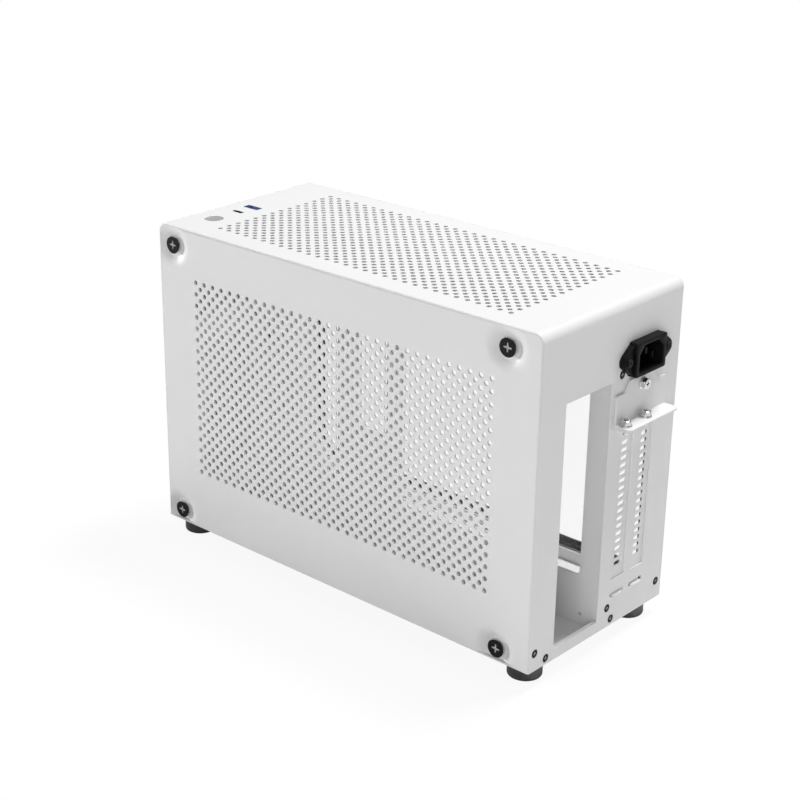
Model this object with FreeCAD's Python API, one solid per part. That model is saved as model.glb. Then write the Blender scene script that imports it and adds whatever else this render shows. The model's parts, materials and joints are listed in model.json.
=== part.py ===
import FreeCAD, Part
import math
import os

# Mini-ITX computer case in white sheet steel, upright on four feet.
# Millimetres. +X is the board side (perforated panel), -X the window side,
# +Y the rear wall, -Y the front, +Z up. The origin lies on the floor under the
# middle of the case, measured with the clamp that stands out behind the rear wall.

Vector = FreeCAD.Vector

# Overall sizes of the case
width = 139.0            # across both side panels
depth = 317.5            # from the front wall to the rear wall
height = 214.5           # from the underside of the bottom plate to the top
sheet = 1.2              # steel sheet
bend = 6.0               # outer radius of the two folds of the shell
running_gap = 0.3        # between moving pieces and what they pass
seat_gap = 0.1           # between a fastener and its hole

# Feet
foot_height = 11.8
foot_radius = 10.9
foot_rounding = 1.5
foot_inset_side = 16.2   # foot's axis from the side faces
foot_inset_end = 14.2    # foot's axis from the front and rear faces
pad_radius = 8.0
pad_thickness = 2.0
pad_standout = 0.6       # pad below the foot's rim

# Grilles. Each hole stands for four of the real sheet's fine holes.
vent_pitch = 16.0
vent_size = 6.8
side_vent_length = 247.0
side_vent_height = 135.0
side_vent_lift = 44.5    # lowest row over the bottom plate's underside
top_vent_width = 104.0
top_vent_length = 240.0
top_vent_start = 41.0    # first row behind the front face

# Side panels and what they screw to
dimple_depth = 2.5
dimple_mouth = 11.8      # radius at the panel's face
dimple_floor = 8.6       # radius at the bottom of the dimple
panel_screw_front = 13.1     # screw's axis behind the front face
panel_screw_rear = 24.8      # on the board side, screw's axis ahead of the rear face
window_screw_rear = 13.1     # the same on the window side
panel_screw_bottom = 8.3     # screw's axis over the bottom plate's underside
panel_screw_top = 13.4       # screw's axis under the top face
panel_head_radius = 6.0
panel_head_seat = 4.3        # head's radius where it meets the dimple
panel_head_height = 2.4
panel_thread_radius = 2.0
panel_screw_length = 7.5
panel_nut_radius = 4.2
panel_nut_height = 3.0
nut_tab_width = 18.0
nut_tab_reach = 9.5      # tab beyond the screw's axis

# Window side
window_margin_front = 20.0
window_margin_rear = 19.0
window_margin_bottom = 16.5
window_margin_top = 28.0
window_corner = 8.0
pane_overlap = 7.0       # pane and tape past the window's edge
pane_thickness = 2.0
tape_thickness = 0.5

# Bottom plate
side_flange_height = 9.0
end_flange_height = 8.0      # at the partition and under the port opening
tall_flange_height = 10.0    # of the same flanges elsewhere
corner_tab_top = 16.5
corner_tab_width = 8.0
floor_slot_width = 5.0
floor_slot_pitch = 12.0
floor_slot_rows = 14
floor_slot_start = 84.0      # first slot behind the front face
floor_slot_margins = (18.0, 17.0)    # slots' ends from the partition and from the window side

# Partition between the board and the graphics card
partition_inset = 70.0       # its board-side face, in from the board side
partition_flange = 12.0
partition_head_room = 0.5    # between its upper edge and the top sheet
cutout_corner = 4.0
cutout_front = 62.0          # first cut-out's front edge behind the front face
cutout_rear = 15.5           # last cut-out's rear edge ahead of the rear face
cutout_ribs = (20.5, 15.5)   # sheet left between the cut-outs
cutout_shares = (0.172, 0.115, 0.713)    # of the length left for cables, middle and back plate
cutout_heights = ((40.0, 165.0), (80.0, 165.0), (34.6, 160.0))
partition_tab_low = (8.4, 18.0)
partition_tab_high = (164.0, 174.0)

# Openings in the rear wall
port_opening_inset = 24.8    # near edge, in from the board side
port_opening_width = 44.45
port_opening_height = 158.75
port_opening_lift = 7.6
slot_inset = 88.5            # first card slot's middle, in from the board side
slot_pitch = 20.32
slot_count = 2
slot_width = 14.0
slot_bottom = 32.0
slot_top = 132.0
slot_corner = 1.5
tongue_slot_lift = 21.3
tongue_slot_width = 14.5
tongue_slot_height = 3.2

# Slot covers, and the clamp that holds them
cover_thickness = 0.8
cover_width = 18.4
cover_tongue_width = 10.2
cover_taper_lift = 29.0
cover_foot_lift = 20.0
cover_foot_reach = 1.5       # tongue's foot past the rear face
cover_tab_reach = 10.9
cover_tab_step = 2.4         # tab narrower than the blade on one side
cover_hole_pitch = 5.08
cover_hole_count = 18
cover_hole_first = 41.4
cover_hole_length = 6.4
cover_hole_height = 2.6
shelf_top = 138.5
clamp_thickness = 1.5
clamp_reach = 12.2
clamp_width = 51.4
clamp_shoulder = 157.3       # where the upright narrows
clamp_crown = 164.2
clamp_step = 8.2
clamp_slope = 5.0
clamp_corner = 3.5           # rounding of the shelf's free corners
clamp_screw_lift = 159.0
lip_thickness = 1.2
lip_reach = 8.5
lip_width = 47.0
lip_window_top = 150.0
slot_screw_offset = 10.9     # screw's axis from its slot's middle
slot_screw_reach = 5.6       # screw's axis behind the rear face
case_screw_radius = 1.75
case_head_radius = 4.0
case_head_hex = 6.35
case_washer_thickness = 0.9
case_head_height = 4.0
case_screw_length = 6.0

# Mains inlet
inlet_inset = 99.5       # inlet's middle, in from the board side
inlet_lift = 177.2
inlet_flange_half = 26.0
inlet_flange_flat = 12.0
inlet_flange_height = 21.6
inlet_flange_thickness = 4.0
inlet_shroud_width = 30.8
inlet_shroud_height = 21.6
inlet_shroud_corner = 1.5
inlet_ear_corner = 5.0
inlet_standout = 6.0
inlet_body_width = 27.4
inlet_body_height = 20.0
inlet_body_depth = 18.0
inlet_wall = 2.0
inlet_cavity_width = 24.2
inlet_cavity_height = 16.4
inlet_cavity_chamfer = 5.0
inlet_pin_pitch = 7.0
inlet_pin_width = 2.0
inlet_pin_height = 4.0
inlet_earth_lift = 2.0
inlet_pin_tip = 2.0          # pins' tips past the rear face
inlet_terminal = 6.0
inlet_screw_pitch = 40.0
inlet_screw_radius = 1.5
inlet_head_radius = 2.6
inlet_nut_radius = 3.1
inlet_nut_height = 2.4

# Small black screws that hold the folded sheets together
frame_screw_radius = 1.5
frame_head_radius = 2.65
frame_screw_length = 4.0
corner_screw = (6.3, 12.0)       # in from the side, over the bottom plate
flange_screw_lift = 4.3
flange_screws = (17.5, 84.0)
partition_screw_inset = 79.4
partition_screws = (13.4, 169.0)

# Power button and ports in the top
controls_setback = 21.2          # from the front face
button_inset = 30.3
button_radius = 6.0
button_flange_radius = 7.2
button_flange = 1.0
button_stem_radius = 2.2
button_travel = 1.0
button_sink = 0.6        # button's face under the top face at rest
plunger_radius = 2.0
switch_size = 12.0
switch_top = 7.5                 # under the top face
plunger_top = 4.8
plunger_bottom = 9.6
usb_c_inset = 52.2
usb_c_length = 8.94
usb_c_width = 3.26
usb_c_wall = 0.35
usb_c_tongue = (6.7, 0.7)
usb_a_inset = 66.0
usb_a_length = 13.1
usb_a_width = 5.7
usb_a_wall = 0.4
usb_a_tongue = (11.2, 2.0)
tongue_sink = 1.0                # tongues' tips under the top face
port_board_depth = 14.0          # board's upper face under the top face
port_board_thickness = 1.6
port_board = (20.0, 69.4, 10.0, 33.0)    # two sides, front and rear edges
port_screw_insets = (42.0, 60.0)
port_screw_setback = 13.0
port_bracket = (36.0, 66.0, 12.0)        # two sides and the drop of its upright
small_screw_radius = 1.2
small_head_radius = 2.3
small_head_height = 1.4

# Threaded inserts for the board's stand-offs, on the mini-ITX hole pattern
board_hole_span_depth = 154.94
board_hole_span_height = 157.48
board_hole_setback = 13.4        # rear holes ahead of the rear face
board_hole_margin = 0.635        # lower holes over the port opening's lower edge
insert_radius = 2.2
insert_collar_radius = 3.0
insert_collar = 2.4
insert_bore = 1.25

# Bracket for the power supply
supply_setback = 24.0
supply_middle = (37.0, 83.0)     # in from the board side, over the bottom plate
supply_plate_height = 138.0
supply_inner_inset = 4.8
supply_window = (46.0, 100.0)
supply_hole_spans = (51.5, 113.0)
supply_hole_radius = 1.9
supply_flange = 16.0
supply_screw_lifts = (40.0, 126.0)
supply_screw_setback = 9.0

# Places worked out from the sizes above
base = foot_height
top = base + height
front = -(depth + clamp_reach) / 2
rear = front + depth
board_face = width / 2
window_face = -width / 2
inner_front = front + sheet
inner_rear = rear - sheet
inner_top = top - sheet
flange_inset = sheet + dimple_depth
slot_middle = slot_inset + slot_pitch * (slot_count - 1) / 2


def across(inset):
    """X of a place that lies inset from the board side."""
    return board_face - inset


def back(distance):
    """Y of a place behind the front face."""
    return front + distance


def up(lift):
    """Z of a place over the bottom plate's underside."""
    return base + lift


# Tools that the pieces are drawn with

def box(x, y, z):
    """Box between two places on each axis, given in either order."""
    low = [min(pair) for pair in (x, y, z)]
    high = [max(pair) for pair in (x, y, z)]
    return Part.makeBox(high[0] - low[0], high[1] - low[1], high[2] - low[2], Vector(*low))


def rod(centre, radius, run):
    """Round rod from a centre along a run vector."""
    return Part.makeCylinder(radius, run.Length, Vector(*centre), run)


def cone(centre, start_radius, end_radius, run):
    """Round cone from a centre along a run vector."""
    return Part.makeCone(start_radius, end_radius, run.Length, Vector(*centre), run)


def join(pieces):
    """One solid from pieces that meet, without the seams between them."""
    first, *others = pieces
    return first.fuse(others).removeSplitter()


def rectangle(a, b, radius=0.0):
    """Corners of a rectangle between two values on each axis."""
    low_a, high_a = sorted(a)
    low_b, high_b = sorted(b)
    return [(low_a, low_b, radius), (high_a, low_b, radius), (high_a, high_b, radius), (low_a, high_b, radius)]


def polygon(a, b, radius, sides, turn=0.0):
    """Corners of a regular polygon about a centre."""
    angles = [math.radians(turn + 360.0 * side / sides) for side in range(sides)]
    return [(a + radius * math.cos(angle), b + radius * math.sin(angle), 0.0) for angle in angles]


def in_plane(plane, at):
    """How a pair of values becomes a point of a plane, and the plane's normal."""
    if plane == "yz":
        return lambda a, b: Vector(at, a, b), Vector(1, 0, 0)
    if plane == "xz":
        return lambda a, b: Vector(a, at, b), Vector(0, 1, 0)
    return lambda a, b: Vector(a, b, at), Vector(0, 0, 1)


def rounded_corner(before, corner, after):
    """Start, middle and end of the arc that rounds one corner of an outline."""
    point = Vector(corner[0], corner[1], 0)
    to_before = (Vector(before[0], before[1], 0) - point).normalize()
    to_after = (Vector(after[0], after[1], 0) - point).normalize()
    half = to_before.getAngle(to_after) / 2
    reach = corner[2] / math.tan(half)
    inward = (to_before + to_after).normalize()
    centre = point + inward * (corner[2] / math.sin(half))
    return point + to_before * reach, centre - inward * corner[2], point + to_after * reach


def outline(corners, place):
    """Closed wire through corners given as (a, b, radius)."""
    stretches = []
    for index, corner in enumerate(corners):
        if corner[2] > 0:
            after = corners[(index + 1) % len(corners)]
            stretches.append(rounded_corner(corners[index - 1], corner, after))
        else:
            stretches.append((Vector(corner[0], corner[1], 0),))
    edges = []
    for index, points in enumerate(stretches):
        path = [place(point.x, point.y) for point in points]
        if len(path) == 3:
            edges.append(Part.Arc(*path).toShape())
        following = stretches[(index + 1) % len(stretches)][0]
        target = place(following.x, following.y)
        if path[-1].distanceToPoint(target) > 1e-6:
            edges.append(Part.LineSegment(path[-1], target).toShape())
    return Part.Wire(edges)


def slab(plane, at, thickness, corners, holes=()):
    """Flat plate from an outline with cut-outs, from one plane to thickness past it."""
    place, normal = in_plane(plane, at)
    wires = [outline(shape, place) for shape in (corners, *holes)]
    return Part.makeFace(wires, "Part::FaceMakerBullseye").extrude(normal * thickness)


def staggered(first, span):
    """Centres of a staggered grid of holes: full rows with shorter rows between them."""
    columns = int(span[0] // vent_pitch) + 1
    rows = int(span[1] // vent_pitch) + 1
    edge_a = first[0] + (span[0] - (columns - 1) * vent_pitch) / 2
    edge_b = first[1] + (span[1] - (rows - 1) * vent_pitch) / 2
    centres = []
    for half_row in range(2 * rows - 1):
        shift = half_row % 2
        for column in range(columns - shift):
            a = edge_a + (column + shift / 2) * vent_pitch
            centres.append((a, edge_b + half_row * vent_pitch / 2))
    return centres


def vent_holes(first, span):
    """Outlines of a grille's holes."""
    return [polygon(a, b, vent_size / 2, 4) for a, b in staggered(first, span)]


# Places that several pieces share

def panel_sides():
    """Face of each side panel with the direction into the case and the rows of its screws."""
    front_row = front + panel_screw_front
    return (
        (board_face, -1, (front_row, rear - panel_screw_rear)),
        (window_face, 1, (front_row, rear - window_screw_rear)),
    )


def panel_screw_places():
    """Face, direction into the case and (y, z) of each screw of the side panels."""
    zs = (base + panel_screw_bottom, top - panel_screw_top)
    return [(face, inward, y, z) for face, inward, rows in panel_sides() for y in rows for z in zs]


def foot_places():
    """Name and (x, y) of each foot."""
    places = {}
    for end, y in (("front", front + foot_inset_end), ("rear", rear - foot_inset_end)):
        places[end + "_board_side"] = (board_face - foot_inset_side, y)
        places[end + "_window_side"] = (window_face + foot_inset_side, y)
    return places


def rear_screw_places():
    """(x, z) of the small screws in the rear wall."""
    corners = [(across(corner_screw[0]), up(corner_screw[1])), (across(width - corner_screw[0]), up(corner_screw[1]))]
    flange = [(across(inset), up(flange_screw_lift)) for inset in flange_screws]
    middle = [(across(partition_screw_inset), up(lift)) for lift in partition_screws]
    return corners + flange + middle


def front_screw_places():
    """(x, z) of the small screws in the front wall."""
    return [(across(inset), up(flange_screw_lift)) for inset in (flange_screws[0], width - flange_screws[0])]


def slot_middles():
    """X of the middle of each card slot."""
    return [across(slot_inset + slot_pitch * index) for index in range(slot_count)]


def slot_screw_places():
    """(x, y) of the screws on the clamp's shelf."""
    return [(x + slot_screw_offset, rear + slot_screw_reach) for x in slot_middles()]


def insert_places():
    """(y, z) of the four inserts under the mainboard, measured from the port opening."""
    rear_row = rear - board_hole_setback
    lower_row = up(port_opening_lift + board_hole_margin)
    ys = (rear_row - board_hole_span_depth, rear_row)
    zs = (lower_row, lower_row + board_hole_span_height)
    return [(y, z) for y in ys for z in zs]


def inlet_screw_places():
    """X of the two screws of the mains inlet."""
    return [across(inlet_inset) + side * inlet_screw_pitch / 2 for side in (-1, 1)]


def port_screw_places():
    """(x, y) of the screws of the small board with the ports."""
    return [(across(inset), back(port_screw_setback)) for inset in port_screw_insets]


def supply_screw_places():
    """(y, z) of the screws that hold the power supply's bracket to the partition."""
    return [(back(supply_setback + supply_screw_setback), up(lift)) for lift in supply_screw_lifts]


# Shell: front wall, top and rear wall from one folded sheet

def shell_profile():
    """Side view of the folded sheet."""
    return [
        (front, base, 0.0),
        (front, top, bend),
        (rear, top, bend),
        (rear, base, 0.0),
        (inner_rear, base, 0.0),
        (inner_rear, inner_top, bend - sheet),
        (inner_front, inner_top, bend - sheet),
        (inner_front, base, 0.0),
    ]


def countersink(x, y, z, inward):
    """Cut for one small countersunk screw, from a wall's outer face."""
    start = (x, y, z)
    wide = frame_head_radius + seat_gap
    narrow = frame_screw_radius + seat_gap
    return join([
        cone(start, wide, narrow, Vector(0, inward * sheet, 0)),
        rod(start, narrow, Vector(0, inward * 3 * sheet, 0)),
    ])


def rear_cutouts():
    """Everything that is cut out of the rear wall."""
    depth_cut = (rear - 2 * sheet, rear + sheet)
    opening_x = (across(port_opening_inset), across(port_opening_inset + port_opening_width))
    opening_z = (up(port_opening_lift), up(port_opening_lift + port_opening_height))
    cuts = [box(opening_x, depth_cut, opening_z)]
    middle = across(slot_middle)
    lip_z = (up(shelf_top) - clamp_thickness - cover_thickness, up(lip_window_top))
    cuts.append(box((middle - lip_width / 2, middle + lip_width / 2), depth_cut, lip_z))
    for x in slot_middles():
        slot = rectangle((x - slot_width / 2, x + slot_width / 2), (up(slot_bottom), up(slot_top)), slot_corner)
        cuts.append(slab("xz", depth_cut[0], 3 * sheet, slot))
        half_height = tongue_slot_height / 2
        tongue = rectangle(
            (x - tongue_slot_width / 2, x + tongue_slot_width / 2),
            (up(tongue_slot_lift) - half_height, up(tongue_slot_lift) + half_height),
            0.9 * half_height,
        )
        cuts.append(slab("xz", depth_cut[0], 3 * sheet, tongue))
    half_width = inlet_body_width / 2 + seat_gap
    half_height = inlet_body_height / 2 + seat_gap
    x = across(inlet_inset)
    z = up(inlet_lift)
    cuts.append(box((x - half_width, x + half_width), depth_cut, (z - half_height, z + half_height)))
    through = Vector(0, 3 * sheet, 0)
    cuts += [rod((screw_x, depth_cut[0], z), inlet_screw_radius + seat_gap, through) for screw_x in inlet_screw_places()]
    cuts.append(rod((middle, depth_cut[0], up(clamp_screw_lift)), case_screw_radius + seat_gap, through))
    return cuts


def top_cutouts():
    """Everything that is cut out of the top."""
    y = back(controls_setback)
    start = top - 3 * sheet
    through = Vector(0, 0, 4 * sheet)
    cuts = [rod((across(button_inset), y, start), button_radius + running_gap, through)]
    ports = ((usb_c_inset, usb_c_width, usb_c_length, 0.45), (usb_a_inset, usb_a_width, usb_a_length, 0.08))
    for inset, port_width, port_length, rounding in ports:
        half_width = port_width / 2 + seat_gap
        half_length = port_length / 2 + seat_gap
        x = across(inset)
        hole = rectangle((x - half_width, x + half_width), (y - half_length, y + half_length), rounding * port_width)
        cuts.append(slab("xy", start, 4 * sheet, hole))
    return cuts


def nut_tab(face, inward, y, low, high):
    """Upright tab behind a dimple, with the hole of its panel screw still closed."""
    start = face + inward * flange_inset
    return box((start, start + inward * sheet), (y - nut_tab_width / 2, y + nut_tab_width / 2), (low, high))


def panel_screw_holes():
    """Holes for the panel screws through the nut tabs, on both sides of the case."""
    holes = []
    for face, inward, y, z in panel_screw_places():
        start = (face + inward * sheet, y, z)
        holes.append(rod(start, panel_thread_radius + seat_gap, Vector(inward * (dimple_depth + 2 * sheet), 0, 0)))
    return holes


def top_grille():
    """Prisms that cut the grille in the top, centred between the two sides."""
    first = (-top_vent_width / 2, back(top_vent_start))
    holes = vent_holes(first, (top_vent_width, top_vent_length))
    return [slab("xy", top - 2 * sheet, 3 * sheet, corners) for corners in holes]


def shell():
    """Folded shell with its openings, the lip that carries the slot covers, and four nut tabs."""
    body = slab("yz", window_face + sheet, width - 2 * sheet, shell_profile())
    middle = across(slot_middle)
    lip_top = up(shelf_top) - clamp_thickness - cover_thickness
    lip = box((middle - lip_width / 2, middle + lip_width / 2), (inner_rear, rear + lip_reach), (lip_top - lip_thickness, lip_top))
    tabs = []
    for face, inward, rows in panel_sides():
        for y in rows:
            tabs.append(nut_tab(face, inward, y, top - panel_screw_top - nut_tab_reach, inner_top))
    body = join([body, lip] + tabs)
    cuts = rear_cutouts() + top_cutouts() + top_grille() + panel_screw_holes()
    cuts += [countersink(x, rear, z, -1) for x, z in rear_screw_places()]
    cuts += [countersink(x, front, z, 1) for x, z in front_screw_places()]
    cuts += [rod((x, y, lip_top - 2 * lip_thickness), case_screw_radius, Vector(0, 0, 3 * lip_thickness))
             for x, y in slot_screw_places()]
    return body.cut(cuts)


# Bottom plate

def end_flanges():
    """Front and rear edges of the tray, turned up, with a dip at the partition and under the port opening."""
    half_width = width / 2 - flange_inset
    dip_start = across(partition_inset + partition_flange + 2 * sheet)
    flanges = []
    for y, dip_end in ((inner_front, across(partition_inset)), (inner_rear - sheet, across(port_opening_inset))):
        for start, end, height in (
            (-half_width, half_width, end_flange_height),
            (-half_width, dip_start, tall_flange_height),
            (dip_end + sheet, half_width, tall_flange_height),
        ):
            flanges.append(box((start, end), (y, y + sheet), (base, up(height))))
    return flanges


def bottom_plate():
    """Tray with turned-up edges, nut tabs at the panel screws and slots under the graphics card."""
    half_width = width / 2 - flange_inset
    ends = (inner_front, inner_rear)
    slot_x = (across(partition_inset + floor_slot_margins[0]), window_face + floor_slot_margins[1])
    vents = []
    for row in range(floor_slot_rows):
        y = back(floor_slot_start + floor_slot_pitch * row)
        slot_y = (y - floor_slot_width / 2, y + floor_slot_width / 2)
        vents.append(rectangle(slot_x, slot_y, 0.45 * floor_slot_width))
    floor = slab("xy", base, sheet, rectangle((-half_width, half_width), ends), vents)
    pieces = [floor]
    for face, inward, rows in panel_sides():
        start = face + inward * flange_inset
        pieces.append(box((start, start + inward * sheet), ends, (base, up(side_flange_height))))
        for y in rows:
            pieces.append(nut_tab(face, inward, y, base, up(panel_screw_bottom + nut_tab_reach)))
        corner = (start, start + inward * corner_tab_width)
        pieces.append(box(corner, (inner_rear - sheet, inner_rear), (base, up(corner_tab_top))))
    pieces += end_flanges()
    cuts = panel_screw_holes()
    cuts += [rod((x, y, base - sheet), small_screw_radius + seat_gap + 0.3, Vector(0, 0, 3 * sheet))
             for x, y in foot_places().values()]
    through = frame_screw_radius + seat_gap
    cuts += [rod((x, rear, z), through, Vector(0, -3 * sheet, 0)) for x, z in rear_screw_places()]
    cuts += [rod((x, front, z), through, Vector(0, 3 * sheet, 0)) for x, z in front_screw_places()]
    return join(pieces).cut(cuts)


# Partition

def partition_cutouts():
    """Limits in y and z of the cut-outs, which share the length between their margins and ribs."""
    free_length = depth - cutout_front - cutout_rear - sum(cutout_ribs)
    start = back(cutout_front)
    limits = []
    for share, (low, high), rib in zip(cutout_shares, cutout_heights, (*cutout_ribs, cutout_rear)):
        end = start + share * free_length
        limits.append(((start, end), (up(low), up(high))))
        start = end + rib
    return limits


def partition():
    """Upright sheet between the board and the graphics card, folded at the front and the rear."""
    face = across(partition_inset)
    ends = (inner_front, inner_rear)
    heights = (up(sheet), inner_top - partition_head_room)
    edges = rectangle(ends, heights)
    edges[2] = edges[2][:2] + (bend,)
    edges[3] = edges[3][:2] + (bend,)
    holes = [rectangle(*limits, cutout_corner) for limits in partition_cutouts()]
    upright = slab("yz", face - sheet, sheet, edges, holes)
    notch_z = (base, up(end_flange_height + running_gap))
    notches = [
        box((face - 2 * sheet, face + sheet), (inner_front - sheet, inner_front + sheet + running_gap), notch_z),
        box((face - 2 * sheet, face + sheet), (inner_rear - sheet - running_gap, inner_rear + sheet), notch_z),
    ]
    flange_x = (face, face - sheet - partition_flange)
    flanges = [
        box(flange_x, (back(3 * sheet), back(depth - 3 * sheet)), (up(sheet), up(2 * sheet))),
        box(flange_x, (inner_front, inner_front + sheet), (up(partition_tab_low[0]), up(partition_tab_high[1]))),
    ]
    for low, high in (partition_tab_low, partition_tab_high):
        flanges.append(box(flange_x, (inner_rear - sheet, inner_rear), (up(low), up(high))))
    cuts = [rod((face + sheet, y, z), insert_radius, Vector(-3 * sheet, 0, 0)) for y, z in insert_places()]
    cuts += [rod((face + sheet, y, z), small_screw_radius, Vector(-3 * sheet, 0, 0)) for y, z in supply_screw_places()]
    cuts += [rod((x, rear, z), frame_screw_radius + seat_gap, Vector(0, -3 * sheet, 0)) for x, z in rear_screw_places()]
    return join([upright.cut(notches)] + flanges).cut(cuts)


# Side panels

def panel_outline():
    """Side view of a panel: its upper corners follow the folds of the shell."""
    return [(front, base, sheet), (front, top, bend), (rear, top, bend), (rear, base, sheet)]


def side_panel(side, holes):
    """Flat panel with a pressed dimple and a hole at each screw."""
    face, inward = side[:2]
    sheet_x = face if inward > 0 else face - sheet
    panel = slab("yz", sheet_x, sheet, panel_outline(), holes)
    # the pressing keeps the sheet's thickness, so its inner cone is the outer one set back
    inner_mouth = dimple_mouth - seat_gap
    inner_floor = dimple_floor + sheet * 0.8
    bulges = []
    recesses = []
    run = Vector(inward * dimple_depth, 0, 0)
    screws = [(y, z) for place, turn, y, z in panel_screw_places() if place == face]
    for y, z in screws:
        bulges.append(cone((face + inward * sheet, y, z), inner_mouth, inner_floor, run))
        recesses.append(cone((face, y, z), dimple_mouth, dimple_floor, run))
        hole = Vector(inward * (dimple_depth + 2 * sheet), 0, 0)
        recesses.append(rod((face, y, z), panel_thread_radius + seat_gap, hole))
    limit = slab("yz", min(face, face + inward * 4 * dimple_depth), 4 * dimple_depth, panel_outline())
    return join([panel] + bulges).cut(recesses).common(limit)


def board_side_panel():
    """Perforated panel over the mainboard."""
    first = (back((depth - side_vent_length) / 2), up(side_vent_lift))
    return side_panel(panel_sides()[0], vent_holes(first, (side_vent_length, side_vent_height)))


def window_edges():
    """(y, z) limits of the window."""
    ys = (front + window_margin_front, rear - window_margin_rear)
    zs = (base + window_margin_bottom, top - window_margin_top)
    return ys, zs


def window_side_panel():
    """Panel with the window over the graphics card."""
    return side_panel(panel_sides()[1], [rectangle(*window_edges(), window_corner)])


def pane_shape(depth_in, thickness, holes=()):
    """Sheet a little larger than the window, cut round the dimples, set depth_in behind the panel's face."""
    ys, zs = window_edges()
    edges = rectangle(
        (ys[0] - pane_overlap, ys[1] + pane_overlap),
        (zs[0] - pane_overlap, zs[1] + pane_overlap),
        window_corner,
    )
    start = window_face + depth_in
    sheet_body = slab("yz", start, thickness, edges, holes)
    clear = [rod((start - thickness, y, z), dimple_mouth + running_gap, Vector(3 * thickness, 0, 0))
             for face, inward, y, z in panel_screw_places() if face == window_face]
    return sheet_body.cut(clear)


def window_tape():
    """Black tape frame between the panel and the pane."""
    return pane_shape(sheet, tape_thickness, [rectangle(*window_edges(), window_corner)])


def window_pane():
    """Clear pane."""
    return pane_shape(sheet + tape_thickness, pane_thickness)


# Fasteners

def panel_screws():
    """Black screws whose flat heads widen to the panel's face, four on each side."""
    screws = []
    for face, inward, y, z in panel_screw_places():
        seat = face + inward * dimple_depth
        head = cone((seat, y, z), panel_head_seat, panel_head_radius, Vector(-inward * panel_head_height, 0, 0))
        thread = rod((seat, y, z), panel_thread_radius, Vector(inward * panel_screw_length, 0, 0))
        screws.append(join([head, thread]))
    return screws


def panel_nuts():
    """Press nuts behind the nut tabs."""
    nuts = []
    for face, inward, y, z in panel_screw_places():
        seat = face + inward * (flange_inset + sheet)
        start = min(seat, seat + inward * panel_nut_height)
        nut = slab("yz", start, panel_nut_height, polygon(y, z, panel_nut_radius, 6))
        bore = rod((seat, y, z), panel_thread_radius, Vector(inward * panel_nut_height, 0, 0))
        nuts.append(nut.cut(bore))
    return nuts


def frame_screws():
    """Small countersunk screws that hold the bottom plate and the partition to the shell."""
    screws = []
    places = [(x, rear, z, -1) for x, z in rear_screw_places()]
    places += [(x, front, z, 1) for x, z in front_screw_places()]
    for x, y, z, inward in places:
        head = cone((x, y, z), frame_head_radius, frame_screw_radius, Vector(0, inward * sheet, 0))
        thread = rod((x, y, z), frame_screw_radius, Vector(0, inward * frame_screw_length, 0))
        screws.append(join([head, thread]))
    return screws


def case_screw(place, inward):
    """Hexagon screw with a wide washer face, as used on card slots."""
    point = Vector(*place)
    washer = rod(place, case_head_radius, inward * -case_washer_thickness)
    thread = rod(place, case_screw_radius, inward * case_screw_length)
    corner_radius = case_head_hex / math.sqrt(3)
    if inward.z:
        hexagon = polygon(point.x, point.y, corner_radius, 6)
        head = slab("xy", point.z, -inward.z * case_head_height, hexagon)
    else:
        hexagon = polygon(point.x, point.z, corner_radius, 6)
        head = slab("xz", point.y, -inward.y * case_head_height, hexagon)
    return join([washer, thread, head])


def slot_screws():
    """Two screws on the clamp's shelf and one in its upright."""
    screws = [case_screw((x, y, up(shelf_top)), Vector(0, 0, -1)) for x, y in slot_screw_places()]
    clamp_face = rear + clamp_thickness
    screws.append(case_screw((across(slot_middle), clamp_face, up(clamp_screw_lift)), Vector(0, -1, 0)))
    return screws


def pan_screw(place, inward, radius, length):
    """Small round-headed screw, its thread running inward from its seat."""
    head = rod(place, small_head_radius, inward * -small_head_height)
    thread = rod(place, radius, inward * length)
    return join([head, thread])


# Card slots

def slot_cover(x):
    """Slot cover: a blade behind the rear wall, its tab turned out over the lip, its tongue through the tongue slot."""
    blade_back = inner_rear - cover_thickness
    tab_top = up(shelf_top) - clamp_thickness
    half = cover_width / 2
    tongue = cover_tongue_width / 2
    blade_outline = [
        (x - half, up(cover_taper_lift), 0.0),
        (x - half, tab_top, 0.0),
        (x + half, tab_top, 0.0),
        (x + half, up(cover_taper_lift), 0.0),
        (x + tongue, up(cover_taper_lift) - (half - tongue), 0.0),
        (x + tongue, up(cover_foot_lift), 0.0),
        (x - tongue, up(cover_foot_lift), 0.0),
        (x - tongue, up(cover_taper_lift) - (half - tongue), 0.0),
    ]
    holes = []
    for index in range(cover_hole_count):
        z = up(cover_hole_first + cover_hole_pitch * index)
        reach = cover_hole_length / 2
        rise = cover_hole_height / 2
        holes.append([
            (x - reach, z, 0.0), (x - reach + rise, z - rise, 0.0), (x + reach - rise, z - rise, 0.0),
            (x + reach, z, 0.0), (x + reach - rise, z + rise, 0.0), (x - reach + rise, z + rise, 0.0),
        ])
    blade = slab("xz", blade_back, cover_thickness, blade_outline, holes)
    foot_z = (up(cover_foot_lift), up(cover_foot_lift) + cover_thickness)
    foot = box((x - tongue, x + tongue), (blade_back, rear + cover_foot_reach), foot_z)
    tab_x = (x - half + cover_tab_step, x + half)
    root = box(tab_x, (blade_back, rear + cover_tab_reach), (tab_top - cover_thickness, tab_top))
    ear_x = (x + half, x + slot_screw_offset + case_screw_radius)
    ear = box(ear_x, (rear + clamp_thickness, rear + cover_tab_reach), (tab_top - cover_thickness, tab_top))
    notch_x = (x + slot_screw_offset - case_screw_radius - seat_gap, ear_x[1])
    notch_y = (rear + slot_screw_reach - case_screw_radius - seat_gap, rear + slot_screw_reach + case_screw_radius + seat_gap)
    notch = box(notch_x, notch_y, (tab_top - 2 * cover_thickness, tab_top + cover_thickness))
    return join([blade, foot, root, ear]).cut(notch)


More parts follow.
